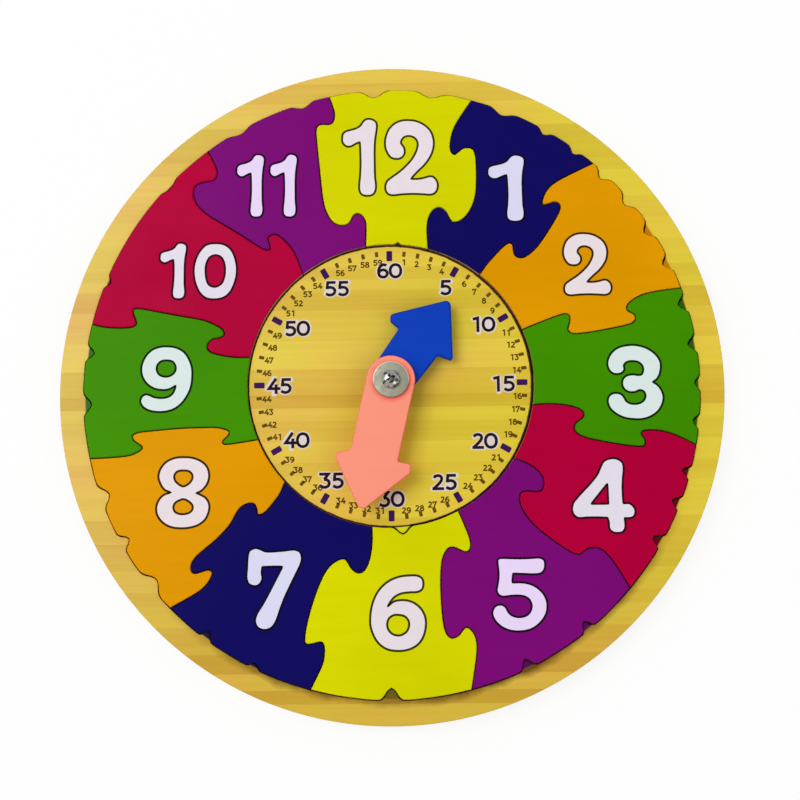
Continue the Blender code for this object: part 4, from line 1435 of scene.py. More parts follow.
# Outlines of the large numerals in millimetres, drawn clockwise from the top
GLYPHS: dict[str, tuple] = {
    "0": (((-80.1, 66.5), (-76.0, 65.9), (-72.9, 63.7), (-71.0, 60.2), (-69.9, 55.8),
           (-69.9, 51.3), (-71.0, 46.9), (-72.9, 43.1), (-75.8, 40.7), (-79.9, 39.9),
           (-84.0, 40.6), (-86.8, 43.1), (-88.7, 46.9), (-89.7, 51.3), (-89.7, 55.8),
           (-88.5, 60.2), (-86.4, 63.7), (-83.9, 65.9)),
          ((-79.9, 60.8), (-77.3, 59.9), (-75.8, 57.3), (-75.3, 53.9), (-75.7, 50.0),
           (-77.0, 47.2), (-79.9, 45.8), (-82.7, 46.9), (-83.9, 49.8), (-84.3, 53.6),
           (-83.9, 57.1), (-82.3, 59.9))),
    "1": (((-9.5, 125.4), (-7.7, 125.1), (-6.1, 124.1), (-5.4, 122.5), (-5.5, 120.0),
           (-6.1, 116.0), (-6.5, 110.5), (-6.5, 103.0), (-6.4, 97.0), (-6.0, 92.5), (-6.4, 89.7),
           (-7.7, 88.1), (-10.2, 87.6), (-12.5, 88.2), (-13.6, 89.7), (-13.9, 92.5),
           (-13.5, 97.0), (-13.2, 103.0), (-13.3, 110.0), (-13.5, 114.0, CORNER), (-15.7, 113.0),
           (-17.5, 112.0), (-19.2, 111.8), (-20.7, 112.6), (-21.7, 114.2), (-21.8, 116.2),
           (-21.4, 118.2), (-20.0, 119.4), (-17.5, 120.1), (-15.0, 120.9), (-13.2, 122.1),
           (-12.0, 123.9), (-10.9, 125.0)),),
    "2": (((89.5, 69.0), (92.8, 68.4), (96.3, 66.5), (98.5, 64.0), (99.5, 60.5), (99.1, 57.0),
           (97.7, 54.0), (95.3, 51.0), (92.8, 48.8), (90.8, 46.9), (89.7, 45.7, CORNER),
           (92.8, 45.7), (95.3, 46.1), (97.2, 46.6), (98.8, 46.5), (100.2, 45.3), (100.9, 43.6),
           (100.7, 41.5), (99.6, 40.0), (97.8, 39.4), (94.7, 39.6), (90.2, 39.8), (85.8, 39.7),
           (81.8, 39.4), (80.1, 39.9), (79.1, 41.1), (78.9, 43.1), (79.6, 44.9), (81.5, 46.4),
           (84.6, 48.4), (87.2, 50.5), (89.8, 53.1), (91.5, 55.6), (92.5, 58.0), (92.7, 59.7),
           (92.1, 61.2), (90.9, 62.2), (89.0, 62.7), (87.1, 62.3), (86.0, 61.2), (85.7, 59.9),
           (86.5, 58.8), (87.1, 57.7), (87.2, 56.1), (86.5, 54.7), (85.1, 53.8), (83.3, 53.7),
           (81.5, 54.2), (80.1, 55.7), (79.1, 58.0), (78.9, 60.5), (79.5, 63.3), (80.9, 65.9),
           (83.3, 67.9), (86.1, 68.9)),),
    "3": (((108.4, 16.6), (112.5, 16.1), (116.2, 14.6), (119.4, 12.0), (121.3, 8.8),
           (121.4, 5.7), (120.7, 2.8), (119.3, 0.6), (117.5, -0.6, CORNER), (119.5, -1.9),
           (121.3, -4.4), (122.1, -7.6), (121.4, -10.7), (119.4, -13.9), (116.2, -16.2),
           (112.5, -17.4), (108.7, -17.5), (104.2, -16.8), (100.5, -15.0), (97.9, -12.6),
           (96.8, -9.8), (97.0, -7.6), (98.4, -5.9), (100.5, -5.4), (102.7, -5.8),
           (104.1, -7.2), (105.2, -9.2), (107.1, -10.3), (109.7, -10.5), (112.1, -9.8),
           (113.6, -8.2), (113.9, -6.3), (113.0, -4.7), (111.3, -4.3), (109.6, -5.0),
           (107.4, -5.2), (105.2, -4.4), (103.9, -2.8), (103.6, -0.6), (104.2, 1.2),
           (105.8, 2.5), (108.4, 3.0), (110.9, 2.7), (112.5, 2.9), (113.3, 4.5), (113.1, 6.8),
           (111.5, 8.5), (108.7, 9.1), (106.1, 8.7), (104.7, 7.2), (104.9, 5.4), (103.9, 3.9),
           (101.8, 3.2), (99.5, 3.6), (97.8, 5.4), (97.2, 7.9), (97.8, 10.7), (99.8, 13.6),
           (103.0, 15.7)),),
    "4": (((97.5, -34.7), (100.4, -35.2), (102.3, -36.8), (102.7, -39.3), (102.3, -42.8),
           (101.9, -47.2), (101.9, -52.3), (102.0, -54.7, CORNER), (104.8, -54.8),
           (106.6, -56.4), (107.2, -58.4), (106.4, -60.5), (104.8, -61.2),
           (102.3, -61.2, CORNER), (102.5, -63.3), (102.4, -65.5), (101.3, -67.2),
           (99.1, -67.7), (96.8, -67.3), (95.4, -65.7), (95.2, -62.8), (94.7, -61.0, CORNER),
           (90.3, -60.8), (85.8, -60.8), (81.8, -60.9), (79.9, -59.5), (79.2, -57.0),
           (79.9, -54.2), (81.6, -52.1), (84.6, -48.9), (88.0, -45.4), (90.9, -41.8),
           (92.6, -38.3), (94.1, -35.9)),
          ((95.2, -46.0, CORNER), (95.3, -54.8, CORNER), (87.8, -54.8, CORNER))),
    "5": (((47.5, -78.2), (52.3, -78.3), (57.3, -78.4), (62.4, -78.2), (64.9, -78.2),
           (66.5, -79.2), (66.9, -81.1), (66.5, -83.3), (64.9, -84.9), (61.8, -85.3),
           (57.3, -85.1), (53.0, -84.9, CORNER), (52.7, -86.8), (52.6, -88.7, CORNER),
           (56.7, -88.7), (60.5, -89.5), (63.9, -91.5), (66.5, -94.7), (67.4, -98.2),
           (66.8, -102.0), (64.6, -105.4), (60.8, -108.3), (56.4, -109.4), (51.6, -109.2),
           (47.5, -107.5), (44.7, -104.8), (43.6, -102.0), (44.1, -99.7), (45.6, -98.3),
           (47.8, -98.1), (49.4, -99.1), (50.4, -101.0), (52.0, -102.6), (54.8, -103.4),
           (57.9, -102.9), (59.8, -101.3), (60.6, -98.8), (59.8, -96.3), (57.9, -94.8),
           (55.1, -94.3), (51.6, -94.4), (48.5, -94.7), (46.6, -94.0), (45.7, -92.2),
           (46.0, -90.0), (46.6, -86.5), (46.6, -83.3), (46.3, -80.2), (46.4, -78.9)),),
    "6": (((8.5, -84.9), (11.4, -85.1), (13.4, -86.3), (14.0, -88.5), (13.4, -91.0),
           (11.4, -92.2), (7.6, -92.4), (3.8, -92.9), (1.3, -94.1), (-0.5, -95.8),
           (-2.3, -98.6, CORNER), (0.3, -96.5), (3.1, -95.8), (6.9, -96.0), (10.4, -97.5),
           (13.2, -100.2), (14.7, -103.7), (14.8, -107.4), (13.9, -111.2), (12.0, -114.4),
           (8.8, -116.7), (5.0, -117.8), (1.2, -117.9), (-2.5, -117.2), (-6.0, -115.0),
           (-8.5, -111.5), (-10.0, -107.1), (-10.1, -102.7), (-9.3, -97.9), (-7.4, -93.2),
           (-4.7, -89.7), (-0.9, -86.9), (3.8, -85.3)),
          ((2.2, -102.2), (5.4, -102.9), (7.1, -104.9), (7.3, -107.0), (6.3, -109.4),
           (4.1, -110.9), (2.0, -111.2), (-0.4, -110.4), (-2.1, -108.4), (-2.5, -106.1),
           (-1.8, -103.9), (0.0, -102.5))),
    "7": (((-60.5, -72.6), (-58.2, -73.2), (-56.1, -74.1), (-52.6, -74.2), (-48.2, -73.9),
           (-43.1, -73.5), (-40.7, -74.6), (-39.9, -77.3), (-40.6, -80.2), (-42.5, -84.1),
           (-45.0, -89.2), (-47.5, -94.5), (-49.4, -99.5), (-51.0, -104.0), (-53.0, -107.0),
           (-56.1, -108.1), (-59.2, -107.0), (-60.4, -104.2), (-59.6, -101.1), (-57.4, -97.6),
           (-54.6, -92.6), (-51.8, -87.2), (-48.5, -80.9, CORNER), (-51.3, -80.8),
           (-57.3, -80.9, CORNER), (-57.6, -83.3), (-57.3, -86.2), (-58.7, -88.6),
           (-60.8, -89.2), (-63.3, -88.2), (-64.3, -85.5), (-64.1, -81.4), (-63.9, -77.0),
           (-63.2, -73.9)),),
    "8": (((-93.1, -31.5), (-88.7, -31.9), (-84.5, -33.7), (-82.1, -36.2), (-81.1, -39.7),
           (-81.7, -43.2), (-83.6, -46.0), (-85.1, -47.2), (-87.0, -47.9, CORNER),
           (-85.1, -48.6), (-82.3, -50.4), (-80.9, -53.2), (-81.1, -56.4), (-82.7, -59.9),
           (-85.8, -62.3), (-89.9, -63.5), (-94.0, -63.7), (-98.5, -63.0), (-102.2, -60.8),
           (-104.6, -57.4), (-105.0, -53.9), (-103.8, -50.7), (-101.6, -48.5),
           (-98.4, -47.5, CORNER), (-101.3, -46.3), (-103.2, -43.8), (-104.3, -40.3),
           (-103.5, -36.9), (-101.0, -33.7), (-97.2, -31.9)),
          ((-92.9, -37.6), (-90.3, -38.0), (-88.8, -39.7), (-89.0, -41.9), (-90.5, -43.7),
           (-92.8, -44.8), (-95.0, -43.8), (-96.7, -42.0), (-97.0, -39.7), (-95.6, -38.0)),
          ((-92.7, -50.6), (-90.2, -51.7), (-88.5, -53.6), (-88.8, -55.8), (-90.9, -57.1),
           (-94.0, -57.3), (-96.4, -56.3), (-97.2, -54.2), (-96.4, -52.2), (-94.7, -51.2))),
    "9": (((-101.8, 18.8), (-97.3, 18.2), (-93.5, 16.1), (-91.0, 12.6), (-89.6, 8.5),
           (-89.4, 3.8), (-90.0, -0.6), (-91.6, -4.4), (-94.4, -8.2), (-98.2, -10.8),
           (-103.0, -11.8), (-108.0, -11.4), (-111.5, -9.8), (-113.3, -7.2), (-112.8, -4.8),
           (-111.2, -3.6), (-109.3, -3.8), (-107.1, -4.8), (-103.6, -5.3), (-100.4, -4.8),
           (-98.4, -3.3), (-97.4, -1.2), (-97.0, 0.4, CORNER), (-98.6, -0.6), (-100.4, -1.4),
           (-103.6, -1.6), (-107.4, -0.7), (-110.9, 1.9), (-112.9, 5.7), (-113.1, 9.8),
           (-111.5, 13.9), (-108.7, 17.0), (-105.2, 18.5)),
          ((-101.8, 12.2), (-98.9, 11.7), (-97.4, 9.8), (-97.3, 7.4), (-98.9, 5.4),
           (-101.4, 4.6), (-104.2, 5.2), (-105.8, 7.1), (-105.8, 9.8), (-104.2, 11.7))),
}

# Each hour's figures with their boxes in millimetres: left, bottom, right, top
FIGURE_BOXES: dict[int, tuple] = {
    1: (("1", 45.7, 74.2, 62.9, 106.2),),
    2: (("2", 79.3, 39.3, 100.8, 68.3),),
    3: (("3", 97.2, -17.6, 122.1, 16.1),),
    4: (("4", 79.7, -67.9, 107.6, -34.9),),
    5: (("5", 43.6, -109.9, 67.7, -78.3),),
    6: (("6", -9.7, -117.8, 14.5, -85.4),),
    7: (("7", -64.1, -108.4, -39.7, -72.8),),
    8: (("8", -104.6, -63.8, -81.0, -32.2),),
    9: (("9", -112.8, -11.7, -89.5, 18.3),),
    10: (("1", -105.4, 40.1, -92.9, 66.7), ("0", -89.5, 39.8, -69.9, 66.2)),
    11: (("1", -70.5, 78.1, -57.4, 108.5), ("1", -55.1, 77.9, -42.1, 108.4)),
    12: (("1", -21.4, 87.6, -5.2, 124.8), ("2", -1.5, 87.7, 22.7, 123.8)),
}


def figure_loops(figure: str, box: tuple[float, float, float, float]) -> list[Loop]:
    """Return a figure's loops, fitted to a box.

    Args:
        figure: The figure's name in GLYPHS.
        box: Left, bottom, right and top in millimetres.

    Returns:
        The outer loop and then the holes, in metres.
    """
    outline = GLYPHS[figure]
    xs = [point[0] for point in outline[0]]
    ys = [point[1] for point in outline[0]]
    left, bottom, right, top = box
    wide = (right - left) / (max(xs) - min(xs))
    tall = (top - bottom) / (max(ys) - min(ys))
    loops = []
    for run in outline:
        points = [Vector((left + (point[0] - min(xs)) * wide,
                          bottom + (point[1] - min(ys)) * tall)) * MM for point in run]
        loops.append(smooth_loop(points, [len(point) > 2 for point in run], 0.6 * MM))
    return loops


# ---------------------------------------------------------------- sub-assemblies

@dataclass
class Board:
    """The back board, the rim with its tabs, and the dial."""

    outline_step: float = 1.2 * MM
    rim_ease: float = 0.6 * MM
    recess_ease: float = 0.25 * MM
    dial_ease: float = 0.3 * MM
    paint_radius: float = 138.3 * MM
    paint_blur: float = 0.35 * MM
    tab_radius: float = 139.1 * MM
    tab_lean: float = 0.42 * MM
    lean_hours: tuple = (1.9, 5.6)
    corner_degrees: dict = field(default_factory=lambda: {
        "back_board": 52.0, "rim_ring": 52.0, "dial_disc": 24.0})
    # Painted shadow of the raised pieces with a dark stain on the rim's south side: its colour and
    # reach.
    scorch: Colour = linear(92, 52, 12)
    scorch_width: float = 3.2 * MM
    dial_radius: float = 64.0 * MM
    # Width by hour of the painted shade with some scorch along the dial's edge.
    edge_stops: tuple = ((0.0, 0.6), (0.8, 0.75), (1.5, 1.0), (3.2, 1.0), (4.4, 0.6), (5.5, 0.6),
                         (7.5, 0.35), (9.0, 0.3), (10.0, 0.55), (11.99, 0.6))
    # Colour of that painted shade and scorch.
    dial_scorch: Colour = linear(66, 40, 14)
    # Strength of that painted shadow and stain by hour.
    scorch_stops: tuple = ((0.0, 0.0), (3.7, 0.0), (4.4, 0.6), (5.1, 0.9), (5.6, 0.8), (6.1, 0.5),
                           (6.6, 0.8), (7.2, 0.3), (7.6, 0.0))
    wood: WoodFinish = WoodFinish("varnished_wood", linear(234, 205, 74), linear(206, 167, 52),
                                  contrast=0.5)
    dial_wood: WoodFinish = WoodFinish("varnished_dial", linear(234, 206, 68),
                                       linear(206, 168, 42), contrast=0.5)
    back_wood: WoodFinish = WoodFinish("back_wood", linear(214, 178, 128), linear(170, 128, 82),
                                       stave=38.0 * MM, seed=9.1, varnish=0.0,
                                       roughness_shift=0.28, contrast=1.0)

    # Paint on the rim's inner band, in colours darker than the pieces' as painted shade where the
    # tabs lie lower, and at 6 o'clock a darker wood as painted shade: start in hours, colour, and
    # how much of it shows
    band_stops: tuple = (
        (0.0, Paint.YELLOW.value, 0.0), (1.9, linear(196, 128, 0), 1.0),
        (2.41, linear(44, 92, 0), 1.0), (3.405, linear(96, 0, 12), 1.0),
        (4.38, linear(86, 6, 84), 1.0), (5.525, linear(96, 84, 20), 0.8),
        (6.5, linear(12, 8, 58), 1.0), (7.49, linear(150, 92, 0), 0.0),
        (8.55, linear(44, 100, 0), 1.0), (9.40, linear(112, 0, 18), 1.0),
        (10.757, linear(86, 6, 84), 0.0),
    )

    def leaning(self, point: Vector) -> Vector:
        """Return a point of the recess's edge, turned where a tab leans to one side.

        Args:
            point: The point.

        Returns:
            The point, turned clockwise on the tabs from 2 to 5 o'clock.
        """
        hours = math.degrees(math.atan2(point.x, point.y)) % 360 / 30
        inward = min(max((self.tab_radius - point.length) / MM, 0.0), 1.0)
        lean = self.tab_lean * inward if self.lean_hours[0] < hours < self.lean_hours[1] else 0.0
        return Matrix.Rotation(-lean / point.length, 2) @ point

    def painted_band(self, graph: Graph, wood: bpy.types.NodeSocket) -> bpy.types.NodeSocket:
        """Lay the band of paint on the rim's tabs over the wood, darkened as painted shade, with a
        painted shadow of the raised pieces and a dark stain on the rim's south side.

        Args:
            graph: The material's graph.
            wood: The wood colour's output.

        Returns:
            The colour's socket.
        """
        radius, turn = graph.polar()
        ramp = graph.add("ShaderNodeValToRGB", {0: turn})
        ramp.color_ramp.interpolation = "CONSTANT"
        stops = ramp.color_ramp.elements
        stops.remove(stops[1])
        for order, (hours, colour, amount) in enumerate(self.band_stops):
            stop = stops[0] if not order else stops.new(hours / 12)
            stop.color = (*colour, amount)
        inside = graph.remap(radius, self.paint_radius - self.paint_blur,
                             self.paint_radius + self.paint_blur, 1.0, 0.0)
        share = graph.math("MULTIPLY", inside, ramp.outputs["Alpha"])
        # Painted shadow of the raised pieces, with a dark stain, in a ragged band outside the
        # recess on the south side.
        reach = graph.remap(graph.noise((90.0, 90.0, 90.0), 3.0), 0.35, 0.65, -0.9 * MM,
                            0.9 * MM)
        near = graph.remap(graph.math("ADD", radius, reach), self.tab_radius,
                           self.tab_radius + self.scorch_width, 1.0, 0.0)
        burnt = graph.math("MULTIPLY", near, graph.by_hour(turn, self.scorch_stops))
        shaded_and_stained = graph.mix(burnt, wood, self.scorch)
        return graph.mix(share, shaded_and_stained, ramp.outputs["Color"])

    def painted_tab(self, graph: Graph, wood: bpy.types.NodeSocket) -> bpy.types.NodeSocket:
        """Lay yellow paint on the dial's lower tab over the wood, and darken the dial's edge with
        painted shade and some scorch.

        Args:
            graph: The material's graph.
            wood: The wood colour's output.

        Returns:
            The colour's socket.
        """
        _, y, _ = graph.place()
        radius, turn = graph.polar()
        ragged = graph.remap(graph.noise((300.0, 300.0, 300.0), 2.0), 0.3, 0.7, -0.12 * MM,
                             0.12 * MM)
        far = graph.math("ADD", radius, ragged)
        # Painted shade along the dial's edge, where the gap and the raised pieces shade it, with
        # some scorch.
        width = graph.by_hour(turn, self.edge_stops)
        near = graph.math("SUBTRACT", self.dial_radius, graph.math("MULTIPLY", width, MM))
        burnt = graph.math("MULTIPLY", graph.math("DIVIDE", graph.math("SUBTRACT", far, near),
                                                  0.3 * MM), 0.9)
        wood = graph.mix(graph.add("ShaderNodeClamp", {0: burnt}).outputs[0], wood,
                         self.dial_scorch)
        outside = graph.remap(radius, 64.3 * MM, 64.5 * MM)
        south = graph.math("LESS_THAN", y, 0.0)
        return graph.mix(graph.math("MULTIPLY", outside, south), wood, Paint.YELLOW.value)

    def build(self) -> int:
        """Build the three layers.

        Returns:
            How many pieces were made.
        """
        rows = (
            ("back_board", self.back_wood, None, "back_wood", 0.3 * MM, 0.5 * MM, 0.1 * MM),
            ("rim_ring", self.wood, self.painted_band, "varnished_wood", self.rim_ease, 0.0,
             self.recess_ease),
            ("dial_disc", self.dial_wood, self.painted_tab, "varnished_wood", self.dial_ease, 0.0,
             0.1 * MM),
        )
        for node, finish, overlay, slot, ease_top, ease_bottom, hole_ease in rows:
            low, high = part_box(node)
            plate = Plate(low.z, high.z, ease_top, ease_bottom)
            loops = node_loops(node, self.outline_step, self.corner_degrees[node])
            if node == "rim_ring":
                loops[1] = [self.leaning(point) for point in loops[1]]
            data = plate.mesh(node, loops, hole_ease, node != "dial_disc")
            add_piece(f"{node}_wood", data, finish.material(overlay), "board", slot, node)
        return len(rows)


@dataclass
class DialPrint:
    """The minute marks and numerals printed on the dial."""

    film: float = 0.02 * MM
    sink: float = 0.01 * MM
    large_tick: tuple = (2.65 * MM, 4.8 * MM, 59.3 * MM)
    small_tick: tuple = (1.5 * MM, 2.4 * MM, 60.1 * MM)
    tick_shift: Vector = field(default_factory=lambda: Vector((0.45 * MM, 0.28 * MM, 0.0)))
    small_radius: float = 56.9 * MM
    small_centre: Vector = field(default_factory=lambda: Vector((0.65 * MM, -0.35 * MM)))
    bold_shift: Vector = field(default_factory=lambda: Vector((0.1 * MM, -0.35 * MM)))
    bold_height: float = 7.2 * MM
    bold_stroke: float = 1.34 * MM
    bold_pitch: float = 5.75 * MM
    halo: float = 0.55 * MM
    small_height: float = 2.85 * MM
    small_stroke: float = 0.6 * MM
    small_pitch: float = 2.1 * MM
    black: InkFinish = InkFinish("dial_black_ink", linear(24, 14, 22), linear(40, 26, 34))
    brown: InkFinish = InkFinish("dial_brown_ink", linear(84, 54, 0), linear(100, 70, 8))
    violet: InkFinish = InkFinish("dial_violet_ink", linear(52, 12, 84), linear(66, 24, 92))
    tan: InkFinish = InkFinish("dial_tan_ink", linear(112, 82, 12), linear(94, 66, 6))
    pale: InkFinish = InkFinish("dial_pale_ink", linear(230, 218, 214), linear(220, 208, 200))

    # Centres of the numbers of five minutes, in millimetres
    bold_centres: dict = field(default_factory=lambda: {
        60: (0.0, 52.7), 5: (25.6, 44.5), 10: (42.6, 27.2), 15: (51.0, -0.2), 20: (42.0, -26.0),
        25: (23.6, -44.2), 30: (0.0, -51.5), 35: (-26.8, -43.0), 40: (-42.6, -24.7),
        45: (-50.5, 0.0), 50: (-42.1, 26.4), 55: (-24.1, 44.7)})

    def build(self) -> int:
        """Print the dial.

        Returns:
            How many pieces were made.
        """
        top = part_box("dial_disc")[1].z
        ticks = tick_tree()
        stamps = stamp_tree()
        for name, count, first, skip, (width, length, radius), ink in (
            ("large_ticks", 12, 1, 13, self.large_tick, self.violet),
            ("small_ticks", 60, 0, 5, self.small_tick, self.tan),
        ):
            shape = {"Count": count, "First": first, "Skip": skip, "Radius": radius,
                     "Width": width, "Length": length, "Height": top - self.sink,
                     "Corner": width * 0.12, "Thickness": self.sink + self.film,
                     "Material": ink.material()}
            data = grown_mesh(name, ticks, shape)
            if name == "small_ticks":
                data.transform(Matrix.Translation(self.tick_shift))
            add_piece(name, data, None, "board", "varnished_wood")
        bold = {number: Vector(spot) * MM + self.bold_shift
                for number, spot in self.bold_centres.items()}
        small = {minute: self.small_centre + clock_point(self.small_radius, minute * 6.0)
                 for minute in range(60) if minute % 5}
        for name, numbers, face, pitch, ink in (
            ("five_minute_halos", bold,
             DigitFace("halo_digit", self.bold_height, self.bold_stroke, top - self.sink,
                       top + self.film, self.halo, Cap.ROUND, 1.14, 6.0),
             self.bold_pitch, self.pale),
            ("five_minute_numbers", bold,
             DigitFace("bold_digit", self.bold_height, self.bold_stroke, top + self.film / 2,
                       top + self.film * 2, narrow=1.14), self.bold_pitch, self.black),
            ("minute_numbers", small,
             DigitFace("small_digit", self.small_height, self.small_stroke, top - self.sink,
                       top + self.film, narrow=1.06, bends_in=9.0), self.small_pitch, self.brown),
        ):
            digits = face.collection()
            data = grown_mesh(name, stamps, {"Digits": digits, "Material": ink.material()},
                              face.points(numbers, pitch))
            add_piece(name, data, None, "board", "varnished_wood")
        return 5


@dataclass
class HourPieces:
    """The twelve painted hour pieces with their printed numerals."""

    outline_step: float = 0.8 * MM
    ease: float = 0.5 * MM
    film: float = 0.03 * MM
    sink: float = 0.01 * MM
    line_width: float = 0.95 * MM
    line_film: float = 0.05 * MM
    whites: dict = field(default_factory=lambda: {
        Paint.YELLOW: linear(238, 227, 233), Paint.NAVY: linear(224, 224, 250),
        Paint.ORANGE: linear(240, 227, 231), Paint.GREEN: linear(224, 238, 236),
        Paint.RED: linear(234, 228, 240), Paint.PURPLE: linear(240, 221, 255)})

    def build(self) -> int:
        """Build the pieces, their numerals and the numerals' outlines.

        Returns:
            How many pieces were made.
        """
        ribbon = ribbon_tree()
        paints = {paint: self.paint_material(paint) for paint in Paint}
        inks = {paint: self.ink_materials(paint) for paint in Paint}
        for hour in range(1, 13):
            paint = list(Paint)[hour % 6]
            node = f"hour_piece_{hour:02d}"
            low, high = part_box(node)
            data = Plate(low.z, high.z, self.ease).mesh(node, node_loops(node, self.outline_step))
            add_piece(f"hour_block_{hour:02d}", data, paints[paint], node, paint.slot, node)
            figures = [figure_loops(name, box) for name, *box in FIGURE_BOXES[hour]]
            self.print_numeral(hour, figures, high.z, inks[paint], ribbon, paint)
        return 36

    def paint_material(self, paint: Paint) -> bpy.types.Material:
        """Return the gloss paint of one colour."""
        shade = tuple(channel * 0.86 for channel in paint.value)
        return PaintFinish(f"gloss_{paint.name.lower()}", paint.value, shade).material()

    def ink_materials(self, paint: Paint) -> tuple[bpy.types.Material, bpy.types.Material]:
        """Return the white and the outline ink, each tinged by the paint below.

        Args:
            paint: The paint that the numeral is printed on.

        Returns:
            The white ink's and the dark ink's materials.
        """
        name = paint.name.lower()
        white = self.whites[paint]
        dim = tuple(channel * 0.95 for channel in white)
        dark = tuple(0.002 + channel * 0.045 for channel in paint.value)
        return (InkFinish(f"white_ink_on_{name}", white, dim).material(),
                InkFinish(f"line_ink_on_{name}", dark, dark).material())

    def print_numeral(self, hour: int, figures: list[list[Loop]], top: float,
                      inks: tuple[bpy.types.Material, bpy.types.Material],
                      ribbon: bpy.types.NodeTree, paint: Paint) -> None:
        """Print an hour's numeral and its dark outline.

        Args:
            hour: The hour.
            figures: The loops of each of its figures.
            top: Height of the paint.
            inks: The white and the dark ink.
            ribbon: The tree that draws the outline.
            paint: The paint below.
        """
        solid = bmesh.new()
        line = bmesh.new()
        for loops in figures:
            part = Plate(top - self.sink, top + self.film, 0.0).mesh("figure", loops)
            solid.from_mesh(part)
            bpy.data.meshes.remove(part)
            for loop in loops:
                corners = [line.verts.new((*point, top + self.line_film / 2)) for point in loop]
                for index, corner in enumerate(corners):
                    line.edges.new((corners[index - 1], corner))
        white = bpy.data.meshes.new(f"numeral_{hour:02d}")
        solid.to_mesh(white)
        solid.free()
        path = bpy.data.meshes.new(f"outline_path_{hour:02d}")
        line.to_mesh(path)
        line.free()
        body = f"hour_piece_{hour:02d}"
        add_piece(f"numeral_{hour:02d}", white, inks[0], body, paint.slot)
        dark = grown_mesh(f"numeral_line_{hour:02d}", ribbon,
                          {"Width": self.line_width, "Thickness": self.line_film + self.sink,
                           "Material": inks[1]}, path)
        add_piece(f"numeral_line_{hour:02d}", dark, None, body, paint.slot)


@dataclass
class Hands:
    """The thick blue hour hand and the flat coral minute hand."""

    arc_step: float = 0.25 * MM
    hour_ease: float = 1.2 * MM
    minute_ease: float = 0.6 * MM
    # Each rim colour is painted shade on the hand's rounded edges and walls and a painted shadow
    # of the washer round the pivot.
    blue: PaintFinish = PaintFinish("blue_paint", linear(17, 68, 193), linear(14, 60, 182),
                                    walls_painted=True, wear=0.15, gloss=0.03,
                                    rim=linear(10, 48, 158))
    coral: PaintFinish = PaintFinish("coral_paint", linear(255, 157, 131), linear(255, 150, 126),
                                     walls_painted=True, wear=0.1, gloss=0.02,
                                     rim=linear(254, 104, 92))

    # Corners in millimetres: across, up and the radius that rounds them
    hour_corners: tuple = (
        (1.24, -13.67, 8.2), (21.45, 11.46, 0.8), (28.2, 8.64, 1.35), (27.57, 37.04, 2.2),
        (0.45, 30.6, 1.7), (0.25, 27.3, 1.6), (4.12, 24.0, 0.8), (-14.16, -2.88, 10.2))
    minute_corners: tuple = (
        (13.28, 8.37, 10.6), (-7.76, 12.77, 10.6), (-17.36, -30.56, 1.6), (-23.75, -32.0, 0.9),
        (-23.95, -34.3, 1.0), (-14.1, -55.8, 0.8), (-11.4, -56.3, 0.8), (8.5, -41.35, 1.0),
        (9.0, -37.35, 1.0), (3.1, -36.2, 0.8))

    def build(self) -> int:
        """Build both hands.

        Returns:
            How many pieces were made.
        """
        for node, finish, corners, ease in (
            ("hour_hand", self.blue, self.hour_corners, self.hour_ease),
            ("minute_hand", self.coral, self.minute_corners, self.minute_ease),
        ):
            low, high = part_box(node)
            loops = [filleted(corners, self.arc_step), *node_loops(node, self.arc_step)[1:]]
            data = Plate(low.z, high.z, ease, ease, steps=6).mesh(node, loops, 0.1 * MM)
            add_piece(f"{node}_arrow", data, finish.material(), node, finish.name, node)
        return 2


